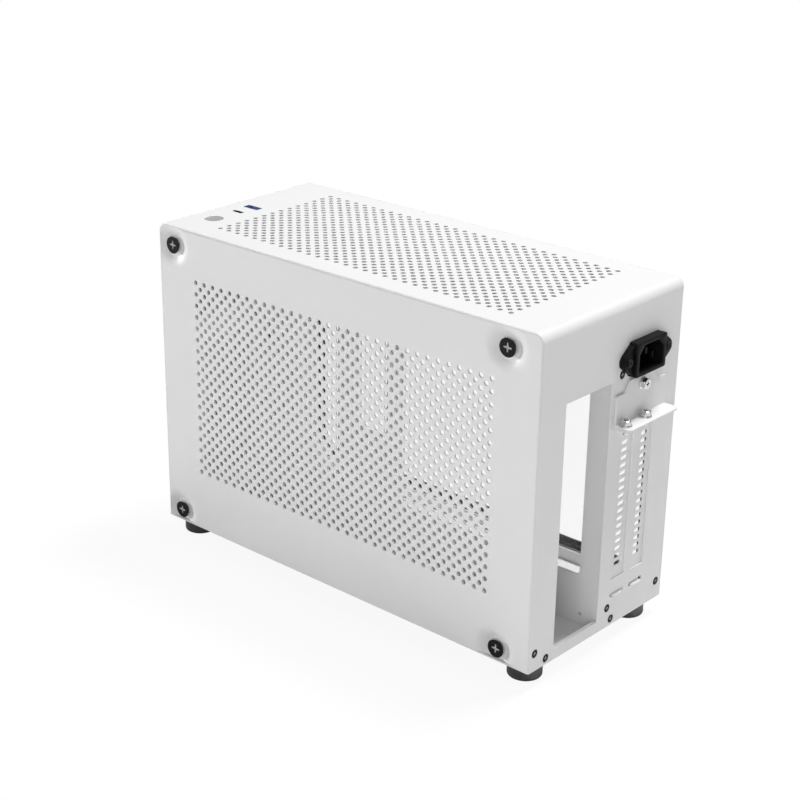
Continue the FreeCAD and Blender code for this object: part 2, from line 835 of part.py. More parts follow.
def slot_clamp():
    """Folded clamp over the tabs of the slot covers, screwed to the outside of the rear wall."""
    middle = across(slot_middle)
    half = clamp_width / 2
    shelf_z = up(shelf_top)
    shelf_outline = rectangle((middle - half, middle + half), (rear, rear + clamp_reach))
    shelf_outline[2] = shelf_outline[2][:2] + (clamp_corner,)
    shelf_outline[3] = shelf_outline[3][:2] + (clamp_corner,)
    shelf = slab("xy", shelf_z - clamp_thickness, clamp_thickness, shelf_outline)
    shoulder = half - clamp_step
    crown = shoulder - clamp_slope
    upright_outline = [
        (middle - half, shelf_z - clamp_thickness, 0.0),
        (middle + half, shelf_z - clamp_thickness, 0.0),
        (middle + half, up(clamp_shoulder), clamp_thickness),
        (middle + shoulder, up(clamp_shoulder), 0.0),
        (middle + crown, up(clamp_crown), 0.0),
        (middle - crown, up(clamp_crown), 0.0),
        (middle - shoulder, up(clamp_shoulder), 0.0),
        (middle - half, up(clamp_shoulder), clamp_thickness),
    ]
    upright = slab("xz", rear, clamp_thickness, upright_outline)
    cuts = [rod((x, y, shelf_z - 2 * clamp_thickness), case_screw_radius + seat_gap, Vector(0, 0, 3 * clamp_thickness))
            for x, y in slot_screw_places()]
    start = (middle, rear - clamp_thickness, up(clamp_screw_lift))
    cuts.append(rod(start, case_screw_radius + seat_gap, Vector(0, 3 * clamp_thickness, 0)))
    return join([shelf, upright]).cut(cuts)


# Mains inlet

def inlet_pin_places():
    """(x, z) of the three pins: two live ones and the earth pin above them."""
    middle = across(inlet_inset)
    z = up(inlet_lift)
    live = [(middle - inlet_pin_pitch, z - inlet_earth_lift), (middle + inlet_pin_pitch, z - inlet_earth_lift)]
    return live + [(middle, z + inlet_earth_lift)]


def inlet_pin(x, z):
    """Flat pin from the cavity to the solder terminal behind the housing."""
    half_width = inlet_pin_width / 2
    half_height = inlet_pin_height / 2
    ys = (rear - inlet_body_depth - inlet_terminal, rear + inlet_pin_tip)
    return box((x - half_width, x + half_width), ys, (z - half_height, z + half_height))


def inlet_housing():
    """Moulded housing: flange with two ears, shroud and a body that reaches through the wall."""
    middle = across(inlet_inset)
    z = up(inlet_lift)
    half_height = inlet_flange_height / 2
    ears = [
        (middle - inlet_flange_flat, z + half_height, 0.0),
        (middle + inlet_flange_flat, z + half_height, 0.0),
        (middle + inlet_flange_half, z, inlet_ear_corner),
        (middle + inlet_flange_flat, z - half_height, 0.0),
        (middle - inlet_flange_flat, z - half_height, 0.0),
        (middle - inlet_flange_half, z, inlet_ear_corner),
    ]
    flange = slab("xz", rear, inlet_flange_thickness, ears)
    shroud_x = (middle - inlet_shroud_width / 2, middle + inlet_shroud_width / 2)
    shroud_z = (z - inlet_shroud_height / 2, z + inlet_shroud_height / 2)
    shroud = slab("xz", rear, inlet_standout, rectangle(shroud_x, shroud_z, inlet_shroud_corner))
    body_x = (middle - inlet_body_width / 2, middle + inlet_body_width / 2)
    body_z = (z - inlet_body_height / 2, z + inlet_body_height / 2)
    body = box(body_x, (rear - inlet_body_depth, rear), body_z)
    half_cavity = inlet_cavity_width / 2
    low = z - inlet_cavity_height / 2
    high = z + inlet_cavity_height / 2
    cavity_outline = [
        (middle - half_cavity, low, 0.0),
        (middle + half_cavity, low, 0.0),
        (middle + half_cavity, high - inlet_cavity_chamfer, 0.0),
        (middle + half_cavity - inlet_cavity_chamfer, high, 0.0),
        (middle - half_cavity + inlet_cavity_chamfer, high, 0.0),
        (middle - half_cavity, high - inlet_cavity_chamfer, 0.0),
    ]
    floor = rear - inlet_body_depth + inlet_wall
    cavity = slab("xz", floor, rear + inlet_standout + inlet_wall - floor, cavity_outline)
    cuts = [cavity] + [inlet_pin(x, pin_z) for x, pin_z in inlet_pin_places()]
    through = Vector(0, 4 * inlet_flange_thickness, 0)
    cuts += [rod((x, rear - sheet, z), inlet_screw_radius + seat_gap, through) for x in inlet_screw_places()]
    return join([flange, shroud, body]).cut(cuts)


def inlet_screws():
    """Two black screws through the ears of the inlet."""
    screws = []
    for x in inlet_screw_places():
        seat = (x, rear + inlet_flange_thickness, up(inlet_lift))
        head = rod(seat, inlet_head_radius, Vector(0, small_head_height, 0))
        length = inlet_flange_thickness + sheet + inlet_nut_height + 2 * sheet
        screws.append(join([head, rod(seat, inlet_screw_radius, Vector(0, -length, 0))]))
    return screws


def inlet_nuts():
    """Nuts of the inlet's screws, behind the rear wall."""
    nuts = []
    for x in inlet_screw_places():
        nut = slab("xz", inner_rear - inlet_nut_height, inlet_nut_height, polygon(x, up(inlet_lift), inlet_nut_radius, 6))
        nuts.append(nut.cut(rod((x, rear, up(inlet_lift)), inlet_screw_radius, Vector(0, -5 * inlet_nut_height, 0))))
    return nuts


# Power button and ports

def power_button():
    """Round cap just below the top, held by a flange under the sheet, with a stem to the switch."""
    x = across(button_inset)
    y = back(controls_setback)
    flange_top = inner_top - running_gap
    cap_length = top - button_sink - flange_top + button_flange
    cap = rod((x, y, flange_top - button_flange), button_radius, Vector(0, 0, cap_length))
    flange = rod((x, y, flange_top - button_flange), button_flange_radius, Vector(0, 0, button_flange))
    stem_length = flange_top - button_flange - top + plunger_top
    stem = rod((x, y, top - plunger_top), button_stem_radius, Vector(0, 0, stem_length))
    return join([cap, flange, stem])


def switch_plunger():
    """Plunger of the switch, which the button's stem pushes."""
    start = (across(button_inset), back(controls_setback), top - plunger_bottom)
    return rod(start, plunger_radius, Vector(0, 0, plunger_bottom - plunger_top))


def power_switch():
    """Body of the switch on the port board, open above for its plunger."""
    x = across(button_inset)
    y = back(controls_setback)
    half = switch_size / 2
    body = box((x - half, x + half), (y - half, y + half), (top - port_board_depth, top - switch_top))
    bore_bottom = top - plunger_bottom - button_travel - 2 * running_gap
    bore = rod((x, y, bore_bottom), plunger_radius + running_gap, Vector(0, 0, switch_size))
    return body.cut(bore)


def port_shell(inset, port_width, port_length, wall, rounding):
    """Metal tube of a port, standing on the port board with its mouth in the top."""
    x = across(inset)
    y = back(controls_setback)
    outer = rectangle((x - port_width / 2, x + port_width / 2), (y - port_length / 2, y + port_length / 2),
                      rounding * port_width)
    inner_x = port_width / 2 - wall
    inner_y = port_length / 2 - wall
    inner = rectangle((x - inner_x, x + inner_x), (y - inner_y, y + inner_y), rounding * 2 * inner_x)
    return slab("xy", top - port_board_depth, port_board_depth, outer, [inner])


def port_tongue(inset, tongue, offset, port_width, port_length, wall, rounding):
    """Plastic tongue of a port on its base, inside the metal tube."""
    x = across(inset)
    y = back(controls_setback)
    inner_x = port_width / 2 - wall
    inner_y = port_length / 2 - wall
    foot = slab("xy", top - port_board_depth, 2.0,
                rectangle((x - inner_x, x + inner_x), (y - inner_y, y + inner_y), rounding * 2 * inner_x))
    blade_x = (x + offset - tongue[1] / 2, x + offset + tongue[1] / 2)
    blade_y = (y - tongue[0] / 2, y + tongue[0] / 2)
    blade = box(blade_x, blade_y, (top - port_board_depth, top - tongue_sink))
    return join([foot, blade])


def usb_a_shell():
    return port_shell(usb_a_inset, usb_a_width, usb_a_length, usb_a_wall, 0.08)


def usb_a_insert():
    offset = (usb_a_width - 2 * usb_a_wall - usb_a_tongue[1]) / 2 - usb_a_wall
    return port_tongue(usb_a_inset, usb_a_tongue, offset, usb_a_width, usb_a_length, usb_a_wall, 0.08)


def usb_c_shell():
    return port_shell(usb_c_inset, usb_c_width, usb_c_length, usb_c_wall, 0.45)


def usb_c_insert():
    return port_tongue(usb_c_inset, usb_c_tongue, 0.0, usb_c_width, usb_c_length, usb_c_wall, 0.45)


def port_board_plate():
    """Circuit board under the ports and the switch."""
    left, right, near, far = port_board
    edges = rectangle((across(left), across(right)), (back(near), back(far)), 1.0)
    board = slab("xy", top - port_board_depth - port_board_thickness, port_board_thickness, edges)
    holes = [rod((x, y, top - 2 * port_board_depth), small_screw_radius + seat_gap, Vector(0, 0, 2 * port_board_depth))
             for x, y in port_screw_places()]
    return board.cut(holes)


def port_board_bracket():
    """Angle on the inside of the front wall that carries the port board."""
    left, right, drop = port_bracket
    seat = top - port_board_depth - port_board_thickness
    x = (across(left), across(right))
    shelf = box(x, (inner_front, back(port_board[2] + 2 * small_head_radius + 4 * sheet)), (seat - sheet, seat))
    upright = box(x, (inner_front, inner_front + sheet), (seat - drop, seat))
    holes = [rod((px, py, seat - 2 * sheet), small_screw_radius, Vector(0, 0, 3 * sheet))
             for px, py in port_screw_places()]
    return join([shelf, upright]).cut(holes)


def port_board_screws():
    """Screws of the port board."""
    seat = top - port_board_depth
    length = port_board_thickness + 3 * sheet
    return [pan_screw((x, y, seat), Vector(0, 0, -1), small_screw_radius, length) for x, y in port_screw_places()]


# Pieces that hold the mainboard and the power supply

def board_inserts():
    """Threaded inserts pressed through the partition, flush with its board side."""
    face = across(partition_inset)
    inserts = []
    for y, z in insert_places():
        shank = rod((face, y, z), insert_radius, Vector(-sheet - insert_collar, 0, 0))
        collar = rod((face - sheet, y, z), insert_collar_radius, Vector(-insert_collar, 0, 0))
        bore = rod((face, y, z), insert_bore, Vector(-sheet - insert_collar, 0, 0))
        inserts.append(join([shank, collar]).cut(bore))
    return inserts


def supply_bracket():
    """Upright plate across the board side that the power supply bolts to, with a flange on the partition."""
    middle_x = across(supply_middle[0])
    middle_z = up(supply_middle[1])
    plate_x = (across(supply_inner_inset), across(partition_inset))
    plate_z = (middle_z - supply_plate_height / 2, middle_z + supply_plate_height / 2)
    window = rectangle(
        (middle_x - supply_window[0] / 2, middle_x + supply_window[0] / 2),
        (middle_z - supply_window[1] / 2, middle_z + supply_window[1] / 2),
        cutout_corner,
    )
    plate = slab("xz", back(supply_setback), sheet, rectangle(plate_x, plate_z), [window])
    flange_y = (back(supply_setback), back(supply_setback + supply_flange))
    flange = box((across(partition_inset), across(partition_inset - sheet)), flange_y, plate_z)
    cuts = []
    for side in (-1, 1):
        for level in (-1, 1):
            place = (middle_x + side * supply_hole_spans[0] / 2, back(supply_setback) - sheet, middle_z + level * supply_hole_spans[1] / 2)
            cuts.append(rod(place, supply_hole_radius, Vector(0, 3 * sheet, 0)))
    start = across(partition_inset - 2 * sheet)
    cuts += [rod((start, y, z), small_screw_radius + seat_gap, Vector(-3 * sheet, 0, 0)) for y, z in supply_screw_places()]
    return join([plate, flange]).cut(cuts)


def supply_bracket_screws():
    """Screws of the power supply's bracket."""
    seat = across(partition_inset - sheet)
    return [pan_screw((seat, y, z), Vector(-1, 0, 0), small_screw_radius, 4 * sheet) for y, z in supply_screw_places()]


# Feet

def foot(x, y):
    """Round foot with a rounded rim and a recess for its pad."""
    height_over_pad = foot_height - pad_standout
    body = rod((x, y, pad_standout), foot_radius, Vector(0, 0, height_over_pad))
    rim = [edge for edge in body.Edges if abs(edge.BoundBox.ZMax - pad_standout) < 1e-6]
    body = body.makeFillet(foot_rounding, rim)
    recess = rod((x, y, 0), pad_radius, Vector(0, 0, pad_thickness))
    bore = rod((x, y, 0), small_screw_radius, Vector(0, 0, foot_height))
    return body.cut([recess, bore])


def foot_pad(x, y):
    """Rubber pad in the foot's recess."""
    return rod((x, y, 0), pad_radius, Vector(0, 0, pad_thickness))


def foot_screws():
    """Screws from inside the bottom plate into the feet."""
    length = sheet + foot_height - pad_thickness - 2.0
    return [pan_screw((x, y, up(sheet)), Vector(0, 0, -1), small_screw_radius, length) for x, y in foot_places().values()]


def all_pieces():
    """Every piece of the case under the name of its file."""
    pieces = {
        "shell": shell(),
        "bottom_plate": bottom_plate(),
        "partition": partition(),
        "board_side_panel": board_side_panel(),
        "window_side_panel": window_side_panel(),
        "window_tape": window_tape(),
        "window_pane": window_pane(),
        "panel_screws": panel_screws(),
        "panel_nuts": panel_nuts(),
        "frame_screws": frame_screws(),
        "slot_clamp": slot_clamp(),
        "slot_screws": slot_screws(),
        "inlet_housing": inlet_housing(),
        "inlet_pins": [inlet_pin(x, z) for x, z in inlet_pin_places()],
        "inlet_screws": inlet_screws(),
        "inlet_nuts": inlet_nuts(),
        "power_button": power_button(),
        "switch_plunger": switch_plunger(),
        "power_switch": power_switch(),
        "usb_a_shell": usb_a_shell(),
        "usb_a_insert": usb_a_insert(),
        "usb_c_shell": usb_c_shell(),
        "usb_c_insert": usb_c_insert(),
        "port_board": port_board_plate(),
        "port_board_bracket": port_board_bracket(),
        "port_board_screws": port_board_screws(),
        "board_inserts": board_inserts(),
        "supply_bracket": supply_bracket(),
        "supply_bracket_screws": supply_bracket_screws(),
        "foot_screws": foot_screws(),
    }
    for index, x in enumerate(slot_middles()):
        pieces["slot_cover_%d" % (index + 1)] = slot_cover(x)
    for name, place in foot_places().items():
        pieces["foot_" + name] = foot(*place)
        pieces["foot_pad_" + name] = foot_pad(*place)
    return pieces


os.makedirs("parts", exist_ok=True)
for name, shape in all_pieces().items():
    solids = Part.makeCompound(shape) if isinstance(shape, list) else shape
    solids.exportStep("parts/%s.step" % name)
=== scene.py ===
import json
import math

import bpy
import numpy as np
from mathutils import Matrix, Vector
from mathutils.geometry import delaunay_2d_cdt


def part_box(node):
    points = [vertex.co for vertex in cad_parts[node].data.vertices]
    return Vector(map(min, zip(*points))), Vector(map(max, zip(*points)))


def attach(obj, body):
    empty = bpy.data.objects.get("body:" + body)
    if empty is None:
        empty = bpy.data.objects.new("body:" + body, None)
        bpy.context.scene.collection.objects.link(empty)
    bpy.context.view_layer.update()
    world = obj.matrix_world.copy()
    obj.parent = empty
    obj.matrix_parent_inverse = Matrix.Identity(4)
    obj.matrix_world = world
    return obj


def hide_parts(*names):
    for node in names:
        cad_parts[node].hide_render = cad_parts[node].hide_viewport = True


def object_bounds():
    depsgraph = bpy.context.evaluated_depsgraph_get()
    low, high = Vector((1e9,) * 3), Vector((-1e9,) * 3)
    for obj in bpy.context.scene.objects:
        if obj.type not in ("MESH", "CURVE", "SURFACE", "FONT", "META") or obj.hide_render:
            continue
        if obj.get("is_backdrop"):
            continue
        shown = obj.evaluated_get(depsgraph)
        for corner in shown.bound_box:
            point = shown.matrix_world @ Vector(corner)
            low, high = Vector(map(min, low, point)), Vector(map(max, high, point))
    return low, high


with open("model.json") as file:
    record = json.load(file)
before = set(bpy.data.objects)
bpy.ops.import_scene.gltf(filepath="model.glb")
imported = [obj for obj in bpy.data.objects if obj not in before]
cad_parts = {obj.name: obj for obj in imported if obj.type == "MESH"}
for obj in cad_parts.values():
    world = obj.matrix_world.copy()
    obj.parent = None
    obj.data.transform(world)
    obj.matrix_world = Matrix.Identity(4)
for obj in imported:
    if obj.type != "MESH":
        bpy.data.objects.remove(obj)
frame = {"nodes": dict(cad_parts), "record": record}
cad_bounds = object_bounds()

# Millimetres, as on the drawing. Meshes are scaled to metres when they are made. An inset runs in from the
# board side, a setback or start back from the front, a lift or an opening's end up from the bottom plate.
MM = 0.001

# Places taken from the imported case
panel_low, panel_high = (np.array(corner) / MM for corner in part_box("board_side_panel"))
window_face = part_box("window_side_panel")[0][0] / MM
board_face, rear, top = panel_high
front, base = panel_low[1:]
width = board_face - window_face
depth = rear - front
height = top - base

# Folded sheet
sheet = 1.2
bend = 6.0
rim = 0.25               # rounding of cut edges under the coating
closed_rim = 0.03        # the same where a panel closes on the shell
flat_band = 0.4          # beside a rounded edge, beyond which a skin's shading is flat
panel_rim = 0.9          # rounding round the outside of a side panel
clamp_rim = 0.35
bend_steps = 8           # rows of points round a bend, and columns across the width of a folded sheet
fold_columns = 24
seat_gap = 0.1           # round what sits in a cut-out
opening_corner = 0.6     # rounding of the rear wall's plain openings

# Fine grilles
vent_pitch = 8.0
vent_radius = 1.7
vent_sides = 16
side_vent_columns = 32
side_vent_rows = 18
side_vent_lift = 44.0
top_vent_columns = 14
top_vent_rows = 31
top_vent_start = 41.0
top_vent_inset = 121.5

# Dimples under the panel screws
dimple_depth = 2.5
dimple_mouth = 11.8
dimple_floor = 8.6
dimple_blend = 5.0        # rounding into the panel's face
dimple_crease = 0.6       # rounding into the floor
dimple_floor_rings = (3.5, 6.0, 7.6)    # circles of points on the floor
dimple_slope_rings = 12
dimple_sides = 56
panel_screw_hole = 2.4
panel_screw_front = 13.1  # screw's axis in from each edge of the panel
panel_screw_rear = 24.8
window_screw_rear = 13.1
panel_screw_bottom = 8.3
panel_screw_top = 13.4

# Window
window_margins = (20.0, 19.0, 16.5, 28.0)    # front, rear, bottom, top
window_corner = 8.0

# Rear wall
port_opening = (24.8, 44.45, 7.6, 158.75)    # inset, width, lift, height
slot_inset = 88.5
slot_pitch = 20.32
slot_width = 14.0
slot_bottom = 32.0
slot_top = 132.0
slot_corner = 1.5
tongue_slot = (21.3, 14.5, 3.2, 1.4)         # lift, width, height, corner
lip_width = 47.0
lip_window_top = 150.0
lip_reach = 8.5
shelf_top = 138.5
clamp_thickness = 1.5
clamp_reach = 12.2
clamp_width = 51.4
clamp_shoulder = 157.3                       # lift at which the upright narrows
clamp_crown = 164.2                          # lift of its upper edge
clamp_step = 8.2                             # from its side in to the shoulder
clamp_slope = 5.0                            # from there in to the crown
clamp_corner = 3.5                           # rounding of the shelf's free corners
clamp_screw_lift = 159.0
clamp_bend = 0.6                             # inner radius
clamp_bend_steps = 5
clamp_rounding = (0.8, 1.5)                  # of the upright's crown and of its shoulders' outer ends
slot_screw_offset = 10.9                     # beside the slot's middle
slot_screw_reach = 5.6                       # behind the wall
slot_screw_radius = 1.75
cover_thickness = 0.8
cover_width = 18.4
cover_tongue = 10.2
cover_taper = 29.0
cover_foot = 20.0
cover_foot_reach = 1.5
cover_tab_reach = 10.9
cover_bend = 0.5
cover_bend_steps = 4
cover_columns = 9
cover_notch_radius = 1.85                    # open notch for the slot's screw
cover_tab_cut = 2.4                          # taken off the tab's other side
cover_ear_end = 1.9                          # the tab narrows this far before the wall
cover_hole_first = 41.4
cover_hole_pitch = 5.08
cover_hole_count = 18
cover_hole = (6.4, 2.6)
frame_screw_mouth = 2.8                      # countersink's outer radius
# (inset, lift) of the small screws, in the rear wall and in the front wall
frame_places = ((6.3, 12.0), (17.5, 4.3), (79.4, 13.4), (84.0, 4.3), (132.7, 12.0), (79.4, 169.0))
front_places = ((17.5, 4.3), (121.5, 4.3))

# Mains inlet
inlet_inset = 99.5
inlet_lift = 177.2
inlet_screw_pitch = 40.0
inlet_screw_hole = 1.6
inlet_body = (27.4, 20.0, 18.0)              # width, height, reach behind the wall
inlet_ears = (28.0, 5.0, 13.5)               # reach, rounding, and where the flange's straight edges end
inlet_shroud = (30.8, 21.6)
inlet_cavity = (24.2, 16.4, 16.0)            # width, height, depth behind the wall
inlet_cavity_chamfer = 5.0
inlet_flange_thickness = 4.0
inlet_standout = 6.0
inlet_edge = 0.4                             # rounding of the moulded edges

# Controls in the top
controls_setback = 21.2
button_inset = 30.3
button_radius = 6.0
button_sink = 0.6
button_gap = 0.3
usb_c = (52.2, 3.26, 8.94, 0.45)             # inset, width, length, share of the width that is rounded
usb_a = (66.0, 5.7, 13.1, 0.08)
nut_tab_width = 18.0
nut_tab_reach = 9.5

# Studio, in metres, degrees and watts
floor_reach = 8.0
floor_white = (0.9, 0.1)     # share of plain white at the case, and what a metre's distance adds to it
surroundings = 0.26          # light from all round, where 1 is white
lamp_target = (0, 0, 0.1)
lamps = (                    # name, place, size, power
    ("top_softbox", (-0.7, 0.28, 2.4), (0.6, 0.6), 54),
    ("side_softbox", (1.4, -4.3, 0.25), (1.4, 0.5), 112),
    ("rear_softbox", (2.5, 1.3, 0.7), (1.2, 1.2), 16),
)
camera_place = (0.8093, 0.6956, 0.5608)
camera_azimuth = 46.58
camera_elevation = 22.92
camera_lens = 79.82
camera_shift = (0.08125, 0.0261)


def across(inset):
    """X of a place that lies inset from the board side."""
    return board_face - inset


def back(distance):
    """Y of a place behind the front face."""
    return front + distance


def up(lift):
    """Z of a place over the bottom plate."""
    return base + lift


slot_middles = [across(slot_inset + slot_pitch * index) for index in range(2)]
slot_middle = sum(slot_middles) / 2
tab_top = up(shelf_top) - clamp_thickness
lip_top = tab_top - cover_thickness
inlet_middle = across(inlet_inset)
inlet_screws = [inlet_middle + side * inlet_screw_pitch / 2 for side in (-1, 1)]
panel_sides = ((board_face, -1, rear - panel_screw_rear), (window_face, 1, rear - window_screw_rear))


# Outlines, all as arrays of (u, v) that run round with the material on their left

def rectangle(u, v, radius=0.0):
    """Corners of a rectangle between two values on each axis, anticlockwise."""
    (u0, u1), (v0, v1) = sorted(u), sorted(v)
    return [(u0, v0, radius), (u1, v0, radius), (u1, v1, radius), (u0, v1, radius)]


def rounded(corners, steps=6):
    """Outline through corners (u, v, radius): each is an arc that touches both of its sides."""
    loop = []
    for index, (u, v, radius) in enumerate(corners):
        point = np.array((u, v))
        if radius <= 0:
            loop.append(point[None])
            continue
        before = np.array(corners[index - 1][:2]) - point
        after = np.array(corners[(index + 1) % len(corners)][:2]) - point
        before /= np.linalg.norm(before)
        after /= np.linalg.norm(after)
        half = math.acos(np.clip(before @ after, -1, 1)) / 2
        inward = (before + after) / np.linalg.norm(before + after)
        centre = point + inward * radius / math.sin(half)
        start = point + before * radius / math.tan(half) - centre
        finish = point + after * radius / math.tan(half) - centre
        swing = math.atan2(start[0] * finish[1] - start[1] * finish[0], start @ finish)
        angles = math.atan2(start[1], start[0]) + swing * np.linspace(0, 1, steps + 1)
        loop.append(centre + radius * np.column_stack([np.cos(angles), np.sin(angles)]))
    return np.concatenate(loop)


def circle(u, v, radius, sides=32):
    """Anticlockwise circle, the cosine and sine of equal angles."""
    angles = np.arange(sides) * 2 * np.pi / sides
    return np.column_stack([u + radius * np.cos(angles), v + radius * np.sin(angles)])


def split_at(loop, rows):
    """The loop with a point added wherever it crosses one of the rows of equal v."""
    after = np.roll(loop, -1, axis=0)
    rise = after[:, 1] - loop[:, 1]
    share = (np.asarray(rows)[None] - loop[:, 1, None]) / np.where(rise == 0, np.inf, rise)[:, None]
    side, row = np.nonzero((share > 1e-6) & (share < 1 - 1e-6))
    added = loop[side] + share[side, row, None] * (after - loop)[side]
    order = np.argsort(np.concatenate([np.arange(len(loop)), side + share[side, row]]), kind="stable")
    return np.concatenate([loop, added])[order]


def hole(loop):
    """The same outline as a cut-out, which runs clockwise."""
    return loop[::-1]


def shift_left(loop, distance):
    """The outline moved towards the material: each point goes along the mitre of its two sides."""
    ahead = np.roll(loop, -1, axis=0) - loop
    ahead /= np.linalg.norm(ahead, axis=1)[:, None]
    behind = np.roll(ahead, 1, axis=0)
    mitre = ahead + behind
    left = np.column_stack([-mitre[:, 1], mitre[:, 0]])
    return loop + distance * left * 2 / (mitre ** 2).sum(axis=1)[:, None]


def staggered(u0, v0, columns, rows):
    """Centres of a staggered grille: full rows, and rows of one hole less halfway between them."""
    full = np.stack(np.meshgrid(np.arange(columns), np.arange(rows)), axis=-1).reshape(-1, 2)
    short = np.stack(np.meshgrid(np.arange(columns - 1), np.arange(rows - 1)), axis=-1).reshape(-1, 2) + 0.5
    return np.array((u0, v0)) + vent_pitch * np.concatenate([full, short])


def vents(centres):
    """Clockwise circles about many centres, as one array of (hole, point, axis)."""
    return centres[:, None] + hole(circle(0, 0, vent_radius, vent_sides))[None]


# Meshes

def ring_links(counts):
    """Index of the next point round, for loops of the given lengths laid end to end."""
    starts = np.concatenate([[0], np.cumsum(counts)])
    following = np.arange(starts[-1]) + 1
    following[starts[1:] - 1] = starts[:-1]
    return following


def bridge(first, second, following):
    """Quads between two sets of loops whose points stand at first + n and second + n."""
    index = np.arange(len(following))
    return np.column_stack([first + index, second + index, second + following, first + following])


def inside(spots, loop):
    """Whether spots lie in a loop: a line to the right of such a spot crosses an odd number of sides."""
    after = np.roll(loop, -1, axis=0)
    level = spots[:, 1, None]
    straddles = (loop[:, 1] > level) != (after[:, 1] > level)
    rise = np.where(after[:, 1] == loop[:, 1], 1.0, after[:, 1] - loop[:, 1])
    crossing = loop[:, 0] + (level - loop[:, 1]) * (after[:, 0] - loop[:, 0]) / rise
    return (straddles & (spots[:, 0, None] < crossing)).sum(axis=1) % 2 == 1


def fill(loops, points, guides=()):
    """Flat triangles over an outline less its cut-outs, by constrained Delaunay triangulation.

    The guides are further loops that the triangles' sides follow. The result is the points, the triangles,
    and where each point of the loops stands among them.
    """
    counts = [len(loop) for loop in loops]
    stacked = np.concatenate([*loops, *guides, points])
    following = ring_links(counts + [len(guide) for guide in guides])
    edges = np.column_stack([np.arange(len(following)), following])
    keep_inside = 1
    found = delaunay_2d_cdt(list(map(Vector, stacked.tolist())), edges.tolist(), [], keep_inside, 1e-7)
    spots = np.array([tuple(spot) for spot in found[0]])
    landed = np.zeros(len(stacked), int)
    sources = found[3]
    landed[np.concatenate(sources).astype(int)] = np.repeat(np.arange(len(spots)), list(map(len, sources)))
    landed = landed[:sum(counts)]
    triangles = np.array(found[2])
    owner = np.full(len(spots), -1)
    owner[landed] = np.repeat(np.arange(len(loops)), counts)
    owners = owner[triangles]
    shared = (owners[:, 0] > 0) & (owners == owners[:, :1]).all(axis=1)
    dropped = np.zeros(len(triangles), bool)
    for number in np.unique(owners[shared, 0]):
        suspects = np.flatnonzero(shared & (owners[:, 0] == number))
        dropped[suspects] = inside(spots[triangles[suspects]].mean(axis=1), loops[number])
    return spots, triangles[~dropped], landed


def weld(points, faces):
    """Points that stand on one spot become one, and faces that collapse are dropped."""
    sorted_out = np.unique(np.round(points, 4), axis=0, return_index=True, return_inverse=True)
    first, inverse = sorted_out[1], sorted_out[2].ravel()
    kept = []
    for group in faces:
        group = inverse[group]
        distinct = np.sort(group, axis=1)
        repeats = (np.diff(distinct, axis=1) == 0).sum(axis=1)
        kept += group[repeats == 0].tolist()
        for quad in group[repeats == 1] if group.shape[1] == 4 else ():
            kept.append(list(dict.fromkeys(quad.tolist())))
    return points[first], kept


def piece(name, points, faces, finish, replaced=(), body="case", crease=35.0, marks=None):
    """Object from points in millimetres and groups of faces, smooth up to the crease angle."""
    spots, polygons = weld(np.asarray(points, float), faces)
    mesh = bpy.data.meshes.new(name)
    mesh.from_pydata((spots * MM).tolist(), [], polygons)
    mesh.validate()
    mesh.shade_smooth()
    mesh.set_sharp_from_angle(angle=math.radians(crease))
    mesh.materials.append(finish)
    made = bpy.data.objects.new(name, mesh)
    bpy.context.scene.collection.objects.link(made)
    if marks:
        layer, values = marks
        attribute = mesh.attributes.new(layer, "FLOAT", "POINT")
        attribute.data.foreach_set("value", values(spots).astype(np.float32))
    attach(made, body)
    if replaced:
        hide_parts(*replaced)


def level_skin(spots):
    """How far the spots of a flat sheet are pressed in: nowhere."""
    return np.zeros(len(spots))


def cut_sheet(outline, cutouts, fine, points, place, thickness, own_rims, relief=level_skin):
    """A sheet with cut-outs: two skins joined by walls, its larger edges rounded by the rim.

    The skins are the filled outline at depth 0 and at the thickness. A wall runs along each loop. At turn t
    its spots are set back into the material by r (1 - sin t) and stand r (1 - cos t) deep, for a rounding of
    r, and at a quarter turn they are the true edge. The outline has its own rounding on each skin.
    The relief is how far a spot is pressed in.
    """
    edges = [outline, *cutouts]
    edge_counts = [len(loop) for loop in edges]
    near_rims = [own_rims[0]] + [rim] * len(cutouts)
    far_rims = [own_rims[1]] + [rim] * len(cutouts)
    set_back = [shift_left(loop, own) for loop, own in zip(edges, near_rims)]
    loops = set_back + list(fine)
    guides = [shift_left(loop, own + flat_band) for loop, own in zip(edges, near_rims)]
    clear = inside(points, guides[0]) if len(points) else np.zeros(0, bool)
    for loop in guides[1:]:
        clear &= ~inside(points, loop)
    spots, triangles, landed = fill(loops, points[clear], guides)
    skins = [place(spots, relief(spots)), place(spots, relief(spots) + thickness)]
    walls = []
    for turn in np.radians((30, 60, 90)):
        moved = [shift_left(loop, own * (1 - math.sin(turn))) for loop, own in zip(edges, near_rims)]
        wall = np.concatenate(moved)
        walls.append(place(wall, relief(wall) + np.repeat(near_rims, edge_counts) * (1 - math.cos(turn))))
    walls.append(place(wall, relief(wall) + thickness - np.repeat(far_rims, edge_counts)))
    stacked = np.concatenate([*skins, *walls])
    count = len(wall)
    index = np.arange(count)
    following = ring_links(edge_counts)
    near = landed[:count]
    far = near + len(spots)
    starts = [2 * len(spots) + count * step for step in range(len(walls))]
    faces = [
        triangles,
        triangles[:, ::-1] + len(spots),
        np.column_stack([near, starts[0] + index, starts[0] + following, near[following]]),
        np.column_stack([starts[-1] + index, far, far[following], starts[-1] + following]),
    ]
    faces += [bridge(first, second, following) for first, second in zip(starts, starts[1:])]
    if len(fine):
        bored = landed[count:]
        next_bored = bored[ring_links([len(loop) for loop in fine])]
        faces.append(np.column_stack([bored, bored + len(spots), next_bored + len(spots), next_bored]))
    return stacked, faces


